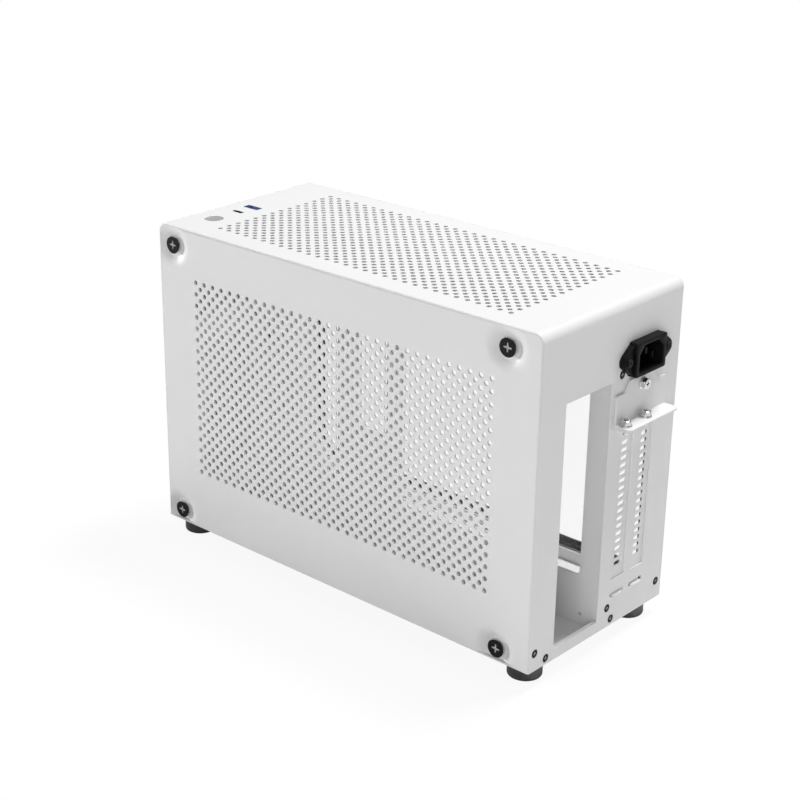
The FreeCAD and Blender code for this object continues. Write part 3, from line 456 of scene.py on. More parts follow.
def joined(*parts):
    """Several (points, faces) pairs as one."""
    points, faces, start = [], [], 0
    for spots, groups in parts:
        points.append(spots)
        faces += [group + start for group in groups]
        start += len(spots)
    return np.concatenate(points), faces


def lofted(rings, close_start=True):
    """Surface through rings of equally many points, as (ring, point, axis), with flat poles at its ends."""
    rings = np.asarray(rings, float)
    count = rings.shape[1]
    following = ring_links([count])
    faces = [bridge(count * index, count * (index + 1), following) for index in range(len(rings) - 1)]
    points = np.vstack([rings.reshape(-1, 3), rings[-1].mean(axis=0)])
    index = np.arange(count)
    last = count * (len(rings) - 1)
    faces.append(np.column_stack([np.full(count, len(points) - 1), last + following, last + index]))
    if close_start:
        points = np.vstack([points, rings[0].mean(axis=0)])
        faces.append(np.column_stack([np.full(count, len(points) - 1), index, following]))
    return points, faces


def at_height(loop, z):
    """A flat loop as points in space at one height."""
    return np.column_stack([loop, np.full(len(loop), z)])


def round_rings(profile, sides=48):
    """Rings of a turned body from (radius, z) pairs."""
    unit = circle(0, 0, 1, sides)
    return [at_height(unit * radius, z) for radius, z in profile]


def turned(profile, sides=48):
    """Turned form about Z: each (radius, z) becomes a ring, from the top down on the outside."""
    return lofted(round_rings(profile, sides))


def by_angle(loop, count):
    """An outline seen from its middle, resampled at equal angles by reading its radius against its angle."""
    run = np.roll(loop, -1, axis=0) - loop
    shares = np.linspace(0, 1, 24, endpoint=False)
    dense = np.concatenate([loop + run * share for share in shares])
    angles = np.arctan2(dense[:, 1], dense[:, 0])
    order = np.argsort(angles)
    wanted = np.linspace(-np.pi, np.pi, count, endpoint=False)
    radius = np.interp(wanted, angles[order], np.linalg.norm(dense, axis=1)[order], period=2 * np.pi)
    return np.column_stack([radius * np.cos(wanted), radius * np.sin(wanted)])


def place_copies(form, origins, axes):
    """Copies of a form made about Z, each turned so that Z runs along its axis and moved to its origin."""
    points, faces = form
    parts = []
    for origin, axis in zip(np.asarray(origins, float), np.asarray(axes, float)):
        side = np.cross((0, 0, 1), axis) if abs(axis[2]) < 0.9 else np.array((1.0, 0, 0))
        side = side / np.linalg.norm(side)
        turn = np.array([side, np.cross(axis, side), axis])
        parts.append((points @ turn + origin, faces))
    return joined(*parts)


class Fold:
    """A bent sheet's outer skin seen from the side: runs of (length, turn), each straight or an arc.

    At distance d along a run of curvature k = turn / length from heading h, the skin stands at the run's
    start plus (sin(h + k d) - sin h, cos h - cos(h + k d)) / k, or d along the heading where k is 0.
    Depth is measured to the right of the heading.
    """

    def __init__(self, start, heading, runs):
        self.lengths = np.array([length for length, turn in runs], float)
        self.curve = np.array([turn / length for length, turn in runs])
        self.starts = np.concatenate([[0], np.cumsum(self.lengths)])
        self.points = [np.array(start, float)]
        self.headings = [heading]
        for length, turn in runs:
            point = self.step(self.points[-1], self.headings[-1], turn / length, length)
            self.points.append(point)
            self.headings.append(self.headings[-1] + turn)

    @staticmethod
    def step(point, heading, curve, distance):
        """Where a run that starts at a point has come after a distance."""
        heading, curve, distance = (np.asarray(value, float) for value in (heading, curve, distance))
        straight = np.abs(curve) < 1e-9
        bent = np.where(straight, 1.0, curve)
        turned_to = heading + bent * distance
        arc_along = (np.sin(turned_to) - np.sin(heading)) / bent
        arc_aside = (np.cos(heading) - np.cos(turned_to)) / bent
        along = np.where(straight, distance * np.cos(heading), arc_along)
        aside = np.where(straight, distance * np.sin(heading), arc_aside)
        return point + np.stack([along, aside], axis=-1)

    def place(self, spots, depth):
        """Points in space of flat spots (x, distance along the fold) at a depth."""
        run = np.clip(np.searchsorted(self.starts, spots[:, 1], side="right") - 1, 0, len(self.lengths) - 1)
        distance = spots[:, 1] - self.starts[run]
        heading = np.array(self.headings)[run]
        skin = self.step(np.array(self.points)[run], heading, self.curve[run], distance)
        heading = heading + self.curve[run] * distance
        inward = np.stack([np.sin(heading), -np.cos(heading)], axis=-1)
        return np.column_stack([spots[:, 0], skin + inward * np.asarray(depth)[..., None]])

    def bend_rows(self, steps):
        """Distances along the fold at which the skin needs points to follow its bends."""
        shares = np.linspace(0, 1, steps + 1)
        bends = np.flatnonzero(self.curve)
        return np.concatenate([self.starts[run] + self.lengths[run] * shares for run in bends])

    def sheet(self, outline, cutouts, fine, xs, steps, thickness, own_rims):
        """Folded sheet from a flat outline with cut-outs, with points at the xs across every bend."""
        rows = self.bend_rows(steps)
        points = np.stack(np.meshgrid(xs, rows), axis=-1).reshape(-1, 2)
        return cut_sheet(split_at(outline, rows), cutouts, fine, points, self.place, thickness, own_rims)


# Finishes

class Value:
    """A number that varies over a surface. Python's operators on it add Math nodes."""

    def __init__(self, nodes, socket):
        self.nodes = nodes
        self.socket = socket

    def __add__(self, other):
        return self.nodes.maths("ADD", self, other)

    def __sub__(self, other):
        return self.nodes.maths("SUBTRACT", self, other)

    def __rsub__(self, other):
        return self.nodes.maths("SUBTRACT", other, self)

    def __mul__(self, other):
        return self.nodes.maths("MULTIPLY", self, other)

    __radd__ = __add__
    __rmul__ = __mul__


class Nodes:
    """A tree of shader nodes being built, of a finish or of the surroundings."""

    def __init__(self, tree):
        self.tree = tree

    def node(self, kind, settings=None, values=None):
        """A node of a type, with its settings made first and then its sockets set or linked."""
        made = self.tree.nodes.new(kind)
        for name, setting in (settings or {}).items():
            setattr(made, name, setting)
        for socket, value in (values or {}).items():
            self.feed(made.inputs[socket], value)
        return made

    def feed(self, socket, value):
        """A socket linked to what varies, or set to a constant."""
        if isinstance(value, Value):
            self.tree.links.new(value.socket, socket)
        elif isinstance(value, bpy.types.NodeSocket):
            self.tree.links.new(value, socket)
        else:
            socket.default_value = value

    def maths(self, operation, *values):
        """One Math node over its values."""
        made = self.node("ShaderNodeMath", {"operation": operation}, dict(enumerate(values)))
        return Value(self, made.outputs[0])

    def seen_directly(self):
        """1 where the camera looks, also through a pane, and 0 for light that spreads."""
        rays = self.node("ShaderNodeLightPath").outputs
        return self.maths("MAXIMUM", rays["Is Camera Ray"], rays["Is Transmission Ray"])


class Finish(Nodes):
    """A finish being mixed: a material with its shader, and the nodes that vary it."""

    def __init__(self, name, colour, roughness, metallic=0.0, **constants):
        self.material = bpy.data.materials.new(name)
        self.material.use_nodes = True
        super().__init__(self.material.node_tree)
        self.shader = self.tree.nodes["Principled BSDF"]
        self.shader.inputs["Base Color"].default_value = (*colour, 1)
        self.shader.inputs["Roughness"].default_value = roughness
        self.shader.inputs["Metallic"].default_value = metallic
        # a constant named specular_ior_level sets the socket Specular IOR Level
        for socket, value in constants.items():
            self.shader.inputs[socket.replace("_", " ").title().replace("Ior", "IOR")].default_value = value
        self.place = self.node("ShaderNodeTexCoord").outputs["Object"]

    def noise(self, size, detail=2.0, stretch=(1, 1, 1)):
        """Cloudy noise from 0 to 1 whose patches are about this many millimetres across."""
        spot = self.node("ShaderNodeMapping", None, {"Vector": self.place, "Scale": stretch}).outputs[0]
        sockets = {"Vector": spot, "Scale": 1 / (size * MM), "Detail": detail}
        return Value(self, self.node("ShaderNodeTexNoise", None, sockets).outputs["Fac"])

    def attribute(self, name):
        """What the mesh carries under a name."""
        return Value(self, self.node("ShaderNodeAttribute", {"attribute_name": name}).outputs["Fac"])

    def tint(self, low, high, share):
        """Base colour between two colours by a varying share."""
        mix = self.node("ShaderNodeMix", {"data_type": "RGBA"}, {0: share, 6: (*low, 1), 7: (*high, 1)})
        self.feed(self.shader.inputs["Base Color"], mix.outputs[2])

    def roughness(self, value):
        """Roughness by a varying value."""
        self.feed(self.shader.inputs["Roughness"], value)

    def metallic(self, value):
        """Metallic by a varying value."""
        self.feed(self.shader.inputs["Metallic"], value)

    def bump(self, value, lift):
        """Raises the surface by a varying value times the lift in millimetres."""
        made = self.node("ShaderNodeBump", None, {"Height": value, "Distance": lift * MM, "Strength": 1.0})
        self.feed(self.shader.inputs["Normal"], made.outputs["Normal"])


def grey(level):
    """A neutral colour."""
    return (level, level, level)


def powder_coat(name, level):
    """Fine textured white powder coat: slight clouds in the tone, a grain of small pimples."""
    coat = Finish(name, grey(level), 0.45)
    clouds = coat.noise(40, 3)
    grain = coat.noise(1.1, 2)
    coat.tint(grey(level - 0.012), grey(level + 0.008), clouds)
    coat.roughness(0.38 + 0.1 * grain + 0.04 * clouds)
    coat.bump(grain, 0.02)
    return coat.material


def screw_black():
    """Black oxide screw: dull black with faint bloom, and a painted highlight filling the driver's cross."""
    oxide = Finish("black_oxide", grey(0.02), 0.35, specular_ior_level=0.12)
    bloom = oxide.noise(1.5, 3)
    painted_highlight = oxide.attribute("recess")
    # painted highlight: the cross is coloured near white and partly metallic, though it lies in a recess
    oxide.tint(grey(0.008), grey(0.8), painted_highlight * 0.95 + bloom * 0.01)
    oxide.roughness(0.3 + 0.12 * bloom)
    oxide.metallic(painted_highlight * 0.3)
    return oxide.material


def zinc_plate():
    """Bright zinc: metal with fine drawn lines and small stains, and painted shade down in a driver's cross.
    """
    zinc = Finish("bright_zinc", grey(0.72), 0.2, 1.0)
    lines = zinc.noise(0.35, 2, (1, 1, 0.1))
    stains = zinc.noise(2.5, 2)
    painted_shade = zinc.attribute("recess")
    # painted shade: the driver's cross is coloured near black
    zinc.tint(grey(0.02), (0.86, 0.86, 0.87), (0.7 + 0.3 * stains) * (1 - painted_shade))
    zinc.roughness(0.14 + 0.16 * lines)
    return zinc.material


def moulded_black(name, level, roughness, grain_size):
    """Moulded plastic: near black with a spark-eroded grain."""
    plastic = Finish(name, grey(level), roughness, specular_ior_level=0.1)
    grain = plastic.noise(grain_size, 2)
    plastic.tint(grey(level * 0.8), grey(level * 1.3), grain)
    plastic.roughness(roughness - 0.05 + 0.12 * grain)
    plastic.bump(grain, 0.02)
    return plastic.material


def foot_black():
    """Dark anodised foot: turned lines round its wall, a satin sheen."""
    foot = Finish("dark_anodised", grey(0.1), 0.3, 0.6)
    lines = foot.noise(0.5, 1, (0.02, 0.02, 1))
    foot.tint(grey(0.07), grey(0.13), lines)
    foot.roughness(0.26 + 0.12 * lines)
    return foot.material


def pad_rubber():
    """Matt rubber with a fine grain."""
    rubber = Finish("pad_rubber", grey(0.03), 0.85)
    grain = rubber.noise(0.6, 3)
    rubber.tint(grey(0.022), grey(0.04), grain)
    rubber.bump(grain, 0.05)
    return rubber.material


def clear_pane():
    """Clear pane: almost nothing but its gloss, with a trace of haze."""
    pane = Finish("clear_pane", (0.9, 0.93, 0.93), 0.03, ior=1.49)
    haze = pane.noise(60, 2)
    pane.feed(pane.shader.inputs["Alpha"], 0.06 + 0.02 * haze)
    return pane.material


def black_tape():
    """Black foam tape: matt, with the cells of the foam."""
    tape = Finish("black_tape", grey(0.025), 0.8)
    cells = tape.node("ShaderNodeTexVoronoi", None, {"Vector": tape.place, "Scale": 1 / (1.6 * MM)})
    cell = Value(tape, cells.outputs["Distance"])
    tape.tint(grey(0.012), grey(0.06), cell)
    tape.bump(cell, 0.15)
    return tape.material


def button_metal():
    """Satin aluminium with turned rings."""
    metal = Finish("satin_aluminium", grey(0.6), 0.35, 0.5)
    rings = metal.noise(0.25, 1)
    metal.tint(grey(0.52), grey(0.62), rings)
    metal.roughness(0.3 + 0.12 * rings)
    return metal.material


def coloured_plastic(name, colour, roughness):
    """Glossy moulded plastic in one colour with slight flow marks."""
    plastic = Finish(name, colour, roughness)
    flow = plastic.noise(3.0, 2)
    low = tuple(0.85 * channel for channel in colour)
    high = tuple(1.12 * channel for channel in colour)
    plastic.tint(low, high, flow)
    plastic.roughness(roughness + 0.08 * flow)
    return plastic.material


def plated(name, colour, roughness):
    """Plated metal with a soft unevenness."""
    metal = Finish(name, colour, roughness, 1.0)
    haze = metal.noise(2.0, 2)
    metal.tint(tuple(0.88 * channel for channel in colour), colour, haze)
    metal.roughness(roughness + 0.1 * haze)
    return metal.material


FINISHES = {
    "white_paint": powder_coat("white_powder_coat", 0.82),
    "black_steel": screw_black(),
    "zinc": zinc_plate(),
    "port_metal": plated("bright_nickel", (0.75, 0.75, 0.76), 0.15),
    # the pins are coloured near black as painted shade for the dark cavity that they sit in
    "pin_metal": plated("pins_in_painted_shade", (0.02, 0.02, 0.02), 0.5),
    "black_plastic": moulded_black("black_plastic", 0.005, 0.45, 0.7),
    "blue_plastic": coloured_plastic("blue_plastic", (0.2, 0.32, 0.75), 0.3),
    "button_metal": button_metal(),
    "board_green": coloured_plastic("board_varnish", (0.02, 0.09, 0.045), 0.3),
    "foot_black": foot_black(),
    "pad_rubber": pad_rubber(),
    "clear_pane": clear_pane(),
    "black_tape": black_tape(),
}


def finish_cad_nodes():
    """Every CAD node gets the finish of its slot."""
    slots = {entry["node"]: entry["material_slot"] for entry in frame["record"]["subparts"]}
    for name, node in frame["nodes"].items():
        node.data.materials.clear()
        node.data.materials.append(FINISHES[slots[name]])


# Folded shell

shell_fold = Fold((front, base), math.pi / 2, [
    (height - bend, 0),
    (bend * math.pi / 2, -math.pi / 2),
    (depth - 2 * bend, 0),
    (bend * math.pi / 2, -math.pi / 2),
    (height - bend, 0),
])


def on_top(y):
    """Distance along the shell's fold of a place on the top."""
    return shell_fold.starts[2] + y - (front + bend)


def on_rear(z):
    """Distance along the shell's fold of a height on the rear wall."""
    return shell_fold.starts[4] + (top - bend) - z


def rear_window(x, z, radius):
    """Rounded cut-out of the rear wall from its limits in x and z."""
    return hole(rounded(rectangle(x, (on_rear(z[0]), on_rear(z[1])), radius)))


def slot_openings(x):
    """A card slot's opening and the slot for its cover's tongue."""
    lift, tongue_width, tongue_height, tongue_corner = tongue_slot
    slot_x = (x - slot_width / 2, x + slot_width / 2)
    tongue_x = (x - tongue_width / 2, x + tongue_width / 2)
    tongue_z = (up(lift) - tongue_height / 2, up(lift) + tongue_height / 2)
    return [
        rear_window(slot_x, (up(slot_bottom), up(slot_top)), slot_corner),
        rear_window(tongue_x, tongue_z, tongue_corner),
    ]


def rear_cutouts():
    """Outlines of the rear wall's openings."""
    inset, opening_width, lift, opening_height = port_opening
    port_x = (across(inset), across(inset + opening_width))
    lip_x = (slot_middle - lip_width / 2, slot_middle + lip_width / 2)
    outlines = [
        rear_window(port_x, (up(lift), up(lift + opening_height)), opening_corner),
        rear_window(lip_x, (lip_top, up(lip_window_top)), opening_corner),
    ]
    for x in slot_middles:
        outlines += slot_openings(x)
    for inset, lift in frame_places:
        outlines.append(hole(circle(across(inset), on_rear(up(lift)), frame_screw_mouth)))
    half_width = inlet_body[0] / 2 + seat_gap
    half_height = inlet_body[1] / 2 + seat_gap
    inlet_x = (inlet_middle - half_width, inlet_middle + half_width)
    outlines.append(rear_window(inlet_x, (up(inlet_lift) - half_height, up(inlet_lift) + half_height), 0.0))
    outlines += [hole(circle(x, on_rear(up(inlet_lift)), inlet_screw_hole, 16)) for x in inlet_screws]
    return outlines


def top_cutouts():
    """Outlines of the holes for the button and the two ports."""
    v = on_top(back(controls_setback))
    outlines = [hole(circle(across(button_inset), v, button_radius + button_gap, 48))]
    for inset, port_width, port_length, share in (usb_c, usb_a):
        x = across(inset)
        u_reach = port_width / 2 + seat_gap
        v_reach = port_length / 2 + seat_gap
        corners = rectangle((x - u_reach, x + u_reach), (v - v_reach, v + v_reach), share * port_width)
        outlines.append(hole(rounded(corners)))
    return outlines


def nut_tabs():
    """The four tabs folded down from the top behind the dimples."""
    tabs = []
    half = nut_tab_width / 2
    low = top - panel_screw_top - nut_tab_reach
    for face, inward, rear_row in panel_sides:
        x = face + inward * (sheet + dimple_depth + sheet / 2)
        for y in (front + panel_screw_front, rear_row):
            corners = rounded(rectangle((y - half, y + half), (low, top - sheet), 0.4))
            ring = np.column_stack([np.zeros(len(corners)), corners])
            tabs.append(lofted([ring + (x - sheet / 2, 0, 0), ring + (x + sheet / 2, 0, 0)]))
    return tabs


def shell_lip():
    """The lip under the covers' tabs, turned out of the rear wall."""
    lip_x = (slot_middle - lip_width / 2, slot_middle + lip_width / 2)
    corners = rounded(rectangle(lip_x, (rear - sheet, rear + lip_reach), 0.3))
    return lofted([at_height(corners, lip_top), at_height(corners, lip_top - sheet)])


def make_shell():
    """Front wall, top and rear wall from one blank, perforated and folded."""
    half = width / 2 - sheet
    outline = rounded(rectangle((-half, half), (0, shell_fold.starts[-1])))
    xs = np.linspace(-half + 1, half - 1, fold_columns)
    first = (across(top_vent_inset), on_top(back(top_vent_start)))
    centres = staggered(*first, top_vent_columns, top_vent_rows)
    grille = list(vents(centres))
    rims = (closed_rim, rim)
    blank = shell_fold.sheet(outline, rear_cutouts() + top_cutouts(), grille, xs, bend_steps, sheet, rims)
    points, faces = joined(blank, shell_lip(), *nut_tabs())
    piece("folded_shell", points, faces, FINISHES["white_paint"], ["shell"])


# Side panels

def panel_screw_places(rear_row):
    """(y, z) of the four screws of a side panel."""
    zs = (base + panel_screw_bottom, top - panel_screw_top)
    return np.array([(y, z) for y in (front + panel_screw_front, rear_row) for z in zs])


def pressed(spots, places):
    """Depth of the dimples: full on the floor, then as the square of the way left to the blended mouth."""
    distance = np.linalg.norm(spots[:, None] - places[None], axis=2).min(axis=1)
    start = dimple_floor - dimple_crease
    end = dimple_mouth + dimple_blend
    share = np.clip((end - distance) / (end - start), 0, 1)
    return dimple_depth * share ** 2


def dimple_points(places):
    """Rings of spots round each screw that carry the dimple's shape."""
    slope = np.linspace(dimple_floor - dimple_crease, dimple_mouth + dimple_blend, dimple_slope_rings)
    radii = (*dimple_floor_rings, *slope)
    rings = np.concatenate([circle(0, 0, radius, dimple_sides) for radius in radii])
    return (places[:, None] + rings[None]).reshape(-1, 2)


def panel_outline():
    """(y, z) outline of a side panel."""
    return rounded([(front, base, 1.0), (rear, base, 1.0), (rear, top, bend), (front, top, bend)], 10)


def make_side_panel(name, node, side, cutouts, fine):
    """Panel with its dimples: flat spots are (y, z) on the board side and (z, y) on the window side."""
    face, inward, rear_row = side
    places = panel_screw_places(rear_row)
    swap = inward > 0

    def place(spots, depth):
        y, z = (spots[:, 1], spots[:, 0]) if swap else (spots[:, 0], spots[:, 1])
        return np.column_stack([face + inward * depth, y, z])

    def relief(spots):
        return pressed(spots[:, ::-1] if swap else spots, places)

    outline = panel_outline()
    bores = [hole(circle(*spot, panel_screw_hole, 24)) for spot in places]
    loops = [*bores, *cutouts]
    points = dimple_points(places)
    if swap:
        outline = outline[::-1, ::-1]
        loops = [loop[::-1, ::-1] for loop in loops]
        points = points[:, ::-1]
    spots, faces = cut_sheet(outline, loops, fine, points, place, sheet, (panel_rim, closed_rim), relief)
    piece(name, spots, faces, FINISHES["white_paint"], [node])


def make_side_panels():
    """The perforated panel and the panel with the window."""
    first = back((depth - vent_pitch * (side_vent_columns - 1)) / 2)
    centres = staggered(first, up(side_vent_lift), side_vent_columns, side_vent_rows)
    make_side_panel("perforated_panel", "board_side_panel", panel_sides[0], [], list(vents(centres)))
    ahead, behind, below, above = window_margins
    limits = (front + ahead, rear - behind), (base + below, top - above)
    window = rounded(rectangle(*limits, window_corner), 10)
    make_side_panel("window_panel", "window_side_panel", panel_sides[1], [hole(window)], [])


# Card slots

def cover_fold():
    """Side view of a slot cover: tab, bend, blade, bend and foot."""
    blade = rear - sheet
    arc = cover_bend * math.pi / 2
    tab_length = rear + cover_tab_reach - blade - cover_bend
    blade_end = up(cover_foot) + cover_thickness + cover_bend
    foot_length = rear + cover_foot_reach - blade - cover_bend
    return Fold((rear + cover_tab_reach, lip_top), math.pi, [
        (tab_length, 0),
        (arc, math.pi / 2),
        (lip_top - cover_bend - blade_end, 0),
        (arc, math.pi / 2),
        (foot_length, 0),
    ])


def make_slot_cover(number, x):
    """Cover bent from a strip: tab with its notch, blade with its row of holes, tapered tongue and foot."""
    fold = cover_fold()
    blade_start = fold.starts[2]

    def on_blade(z):
        return blade_start + lip_top - cover_bend - z

    half = cover_width / 2
    tongue = cover_tongue / 2
    ear = slot_screw_offset + slot_screw_radius
    ear_end = cover_tab_reach - cover_ear_end
    screw_v = cover_tab_reach - slot_screw_reach
    notch = cover_notch_radius
    taper = on_blade(up(cover_taper))
    taper_end = on_blade(up(cover_taper) - (half - tongue))
    end = fold.starts[-1]
    outline = rounded([
        (x - half + cover_tab_cut, 0, 0.6),
        (x + ear, 0, 0.6),
        (x + ear, screw_v - notch, 0.0),
        (x + slot_screw_offset - notch, screw_v - notch, 1.6),
        (x + slot_screw_offset - notch, screw_v + notch, 1.6),
        (x + ear, screw_v + notch, 0.0),
        (x + ear, ear_end, 0.4),
        (x + half, ear_end, 0.3),
        (x + half, taper, 0.5),
        (x + tongue, taper_end, 0.5),
        (x + tongue, end, 0.5),
        (x - tongue, end, 0.5),
        (x - tongue, taper_end, 0.5),
        (x - half, taper, 0.5),
        (x - half, blade_start + 0.5, 0.3),
        (x - half + cover_tab_cut, blade_start + 0.5, 0.3),
    ], 4)
    length, tall = cover_hole
    holes = []
    for row in range(cover_hole_count):
        v = on_blade(up(cover_hole_first + cover_hole_pitch * row))
        corners = rectangle((x - length / 2, x + length / 2), (v - tall / 2, v + tall / 2), tall * 0.48)
        holes.append(hole(rounded(corners, 5)))
    xs = np.linspace(x - half, x + half, cover_columns)
    points, faces = fold.sheet(outline, holes, [], xs, cover_bend_steps, cover_thickness, (rim, rim))
    name = "vented_slot_cover_%d" % number
    piece(name, points, faces, FINISHES["white_paint"], ["slot_cover_%d" % number])


def make_slot_covers():
    """The covers of both slots."""
    for number, x in enumerate(slot_middles, 1):
        make_slot_cover(number, x)


def make_slot_clamp():
    """Angle over the tabs: the upright with its shoulders, a tight bend and the shelf."""
    start = (rear + clamp_thickness, up(clamp_crown))
    upright = clamp_crown - shelf_top - clamp_bend
    shelf = clamp_reach - clamp_thickness - clamp_bend
    fold = Fold(start, -math.pi / 2, [(upright, 0), (clamp_bend * math.pi / 2, math.pi / 2), (shelf, 0)])
    half = clamp_width / 2
    shoulder = half - clamp_step
    crown = shoulder - clamp_slope
    drop = clamp_crown - clamp_shoulder
    end = fold.starts[-1]
    soft, round_end = clamp_rounding
    outline = rounded([
        (slot_middle - crown, 0, soft),
        (slot_middle + crown, 0, soft),
        (slot_middle + shoulder, drop, soft),
        (slot_middle + half, drop, round_end),
        (slot_middle + half, end, clamp_corner),
        (slot_middle - half, end, clamp_corner),
        (slot_middle - half, drop, round_end),
        (slot_middle - shoulder, drop, soft),
    ])
    xs = np.linspace(slot_middle - half + 1, slot_middle + half - 1, fold_columns)
    points, faces = fold.sheet(outline, [], [], xs, clamp_bend_steps, clamp_thickness, (clamp_rim, rim))
    piece("cover_clamp", points, faces, FINISHES["white_paint"], ["slot_clamp"])


# Screws

def cross_outline(reach, half_width):
    """Outline of a driver's cross, anticlockwise, with slightly rounded arm ends."""
    tip = 0.55 * half_width
    arm = ((reach, -tip, 0.8 * tip), (reach, tip, 0.8 * tip), (half_width, half_width, 0.3 * half_width))
    corners = []
    for quarter in range(4):
        c = round(math.cos(quarter * math.pi / 2))
        s = round(math.sin(quarter * math.pi / 2))
        corners += [(c * u - s * v, s * u + c * v, radius) for u, v, radius in arm]
    return rounded(corners, 2)


def screw(body, crown, driver):
    """Screw about Z: a domed face with a driver's cross, and a turned or shaped body below.

    The face is filled between the body's first ring and the cross, and rises by crown times one less the
    squared share of the radius. The cross narrows as it goes down. The driver is the cross's reach, half
    width and depth. The body is a list of rings.
    """
    reach, half_width, cross_depth = driver
    cross = cross_outline(reach, half_width)
    edge = body[0][:, :2]
    top_height = body[0][0, 2]
    top_radius = np.linalg.norm(edge, axis=1).min()
    # two circles of points on the face, where they stay clear of the cross
    guide = np.concatenate([circle(0, 0, top_radius * share, 24) for share in (0.72, 0.86)])
    guide = guide[np.linalg.norm(guide, axis=1) > reach * 1.05]
    spots, triangles = fill([edge, hole(cross)], guide)[:2]
    lift = crown * (1 - (np.linalg.norm(spots, axis=1) / top_radius) ** 2)
    face = (np.column_stack([spots, top_height + lift]), [triangles])
    cross_lift = crown * (1 - (np.linalg.norm(cross, axis=1) / top_radius) ** 2)
    rings = []
    # shares of the cross's reach, width and depth from its mouth to its end
    for reach_share, width_share, drop in ((1.0, 1.0, 0.0), (0.9, 0.92, 0.35), (0.55, 0.85, 1.0)):
        loop = cross_outline(reach * reach_share, half_width * width_share)[::-1]
        height = top_height + cross_lift[::-1] * (1 - drop) - cross_depth * drop
        rings.append(np.column_stack([loop, height]))
    return joined(face, lofted(rings, close_start=False), lofted(body, close_start=False))


def cross_marks(origins, axes, reach, levels):
    """For the finish: 1 below the face inside the driver's cross of any screw, 0 elsewhere; the black finish
    paints a highlight there and the zinc finish paints shade.
    """
    low, high = levels

    def values(spots):
        marks = np.zeros(len(spots))
        for origin, axis in zip(np.asarray(origins, float), np.asarray(axes, float)):
            offset = spots - origin
            along = offset @ axis
            aside = np.linalg.norm(offset - along[:, None] * axis, axis=1)
            marks = np.maximum(marks, (aside < reach * 1.02) & (along > low) & (along < high))
        return marks
    return values


def make_screws(name, node, form, origins, axes, reach, levels, finish="black_steel"):
    """A set of screws, marked inside the cross between two levels on the screw's axis, where the black
    finish paints a highlight and the zinc finish paints shade.
    """
    points, faces = place_copies(form, origins, axes)
    marks = ("recess", cross_marks(origins, axes, reach, levels))
    piece(name, points, faces, FINISHES[finish], [node], crease=30, marks=marks)


def make_panel_screws():
    """Flat heads that widen to the panel's face, with a driver's cross."""
    body = round_rings([(5.7, 2.4), (5.85, 2.32), (4.3, 0.0), (2.0, 0.0), (2.0, -7.0), (1.5, -7.5)])
    driver = (3.0, 0.75, 1.6)
    origins, axes = [], []
    for face, inward, rear_row in panel_sides:
        for y, z in panel_screw_places(rear_row):
            origins.append((face + inward * dimple_depth, y, z))
            axes.append((-inward, 0, 0))
    form = screw(body, 0.0, driver)
    make_screws("panel_screw_set", "panel_screws", form, origins, axes, driver[0], (0.5, 2.35))


def make_frame_screws():
    """Small countersunk screws in the rear wall and the front wall."""
    body = round_rings([(2.5, -0.05), (2.65, -0.15), (1.5, -1.2), (1.5, -3.7), (1.1, -4.0)], 32)
    driver = (1.5, 0.36, 0.8)
    origins = [(across(inset), rear, up(lift)) for inset, lift in frame_places]
    axes = [(0, 1, 0)] * len(frame_places)
    origins += [(across(inset), front, up(lift)) for inset, lift in front_places]
    axes += [(0, -1, 0)] * len(front_places)
    form = screw(body, 0.02, driver)
    make_screws("frame_screw_set", "frame_screws", form, origins, axes, driver[0], (-1.0, -0.1))


def make_inlet_screws():
    """Round heads on the inlet's ears, black down into the cross."""
    head = [(1.9, 1.35), (2.4, 1.1), (2.6, 0.6), (2.6, 0.0)]
    shank = [(1.5, 0.0), (1.5, -9.6), (1.2, -10.0)]
    form = screw(round_rings(head + shank, 32), 0.05, (1.3, 0.32, 0.7))
    origins = [(x, rear + inlet_flange_thickness, up(inlet_lift)) for x in inlet_screws]
    points, faces = place_copies(form, origins, [(0, 1, 0)] * len(origins))
    finish = FINISHES["black_steel"]
    piece("inlet_screw_set", points, faces, finish, ["inlet_screws"], crease=30)


def hexagon(across_flats, limit, sides):
    """Hexagon as a circle's points pulled in to its flats, its corners cut off at the limit radius."""
    angles = np.arange(sides) * 2 * np.pi / sides
    to_flat = (angles + np.pi / 6) % (np.pi / 3) - np.pi / 6
    radius = np.minimum(across_flats / 2 / np.cos(to_flat), limit)
    return radius[:, None] * circle(0, 0, 1, sides)


def make_slot_screws():
    """Three bright hexagon screws with a washer face, a slight dish and a driver's cross."""
    sides = 48
    across_flats = 6.35
    corner = across_flats / math.sqrt(3)
    driver = (1.9, 0.45, 1.6)
    body = [
        at_height(hexagon(5.5, 2.95, sides), 4.0),
        at_height(hexagon(across_flats, 3.3, sides), 3.75),
        at_height(hexagon(across_flats, corner, sides), 3.3),
        at_height(hexagon(across_flats, corner, sides), 1.0),
    ]
    washer = [(3.75, 0.9), (3.95, 0.7), (4.0, 0.4), (4.0, 0.0)]
    shank = [(slot_screw_radius, 0.0), (slot_screw_radius, -5.6), (1.4, -6.0)]
    body += round_rings(washer + shank, sides)
    origins = [(x + slot_screw_offset, rear + slot_screw_reach, up(shelf_top)) for x in slot_middles]
    axes = [(0, 0, 1)] * len(origins)
    origins.append((slot_middle, rear + clamp_thickness, up(clamp_screw_lift)))
    axes.append((0, 1, 0))
    form = screw(body, -0.15, driver)
    make_screws("slot_screw_set", "slot_screws", form, origins, axes, driver[0], (2.0, 3.8), "zinc")


# Mains inlet

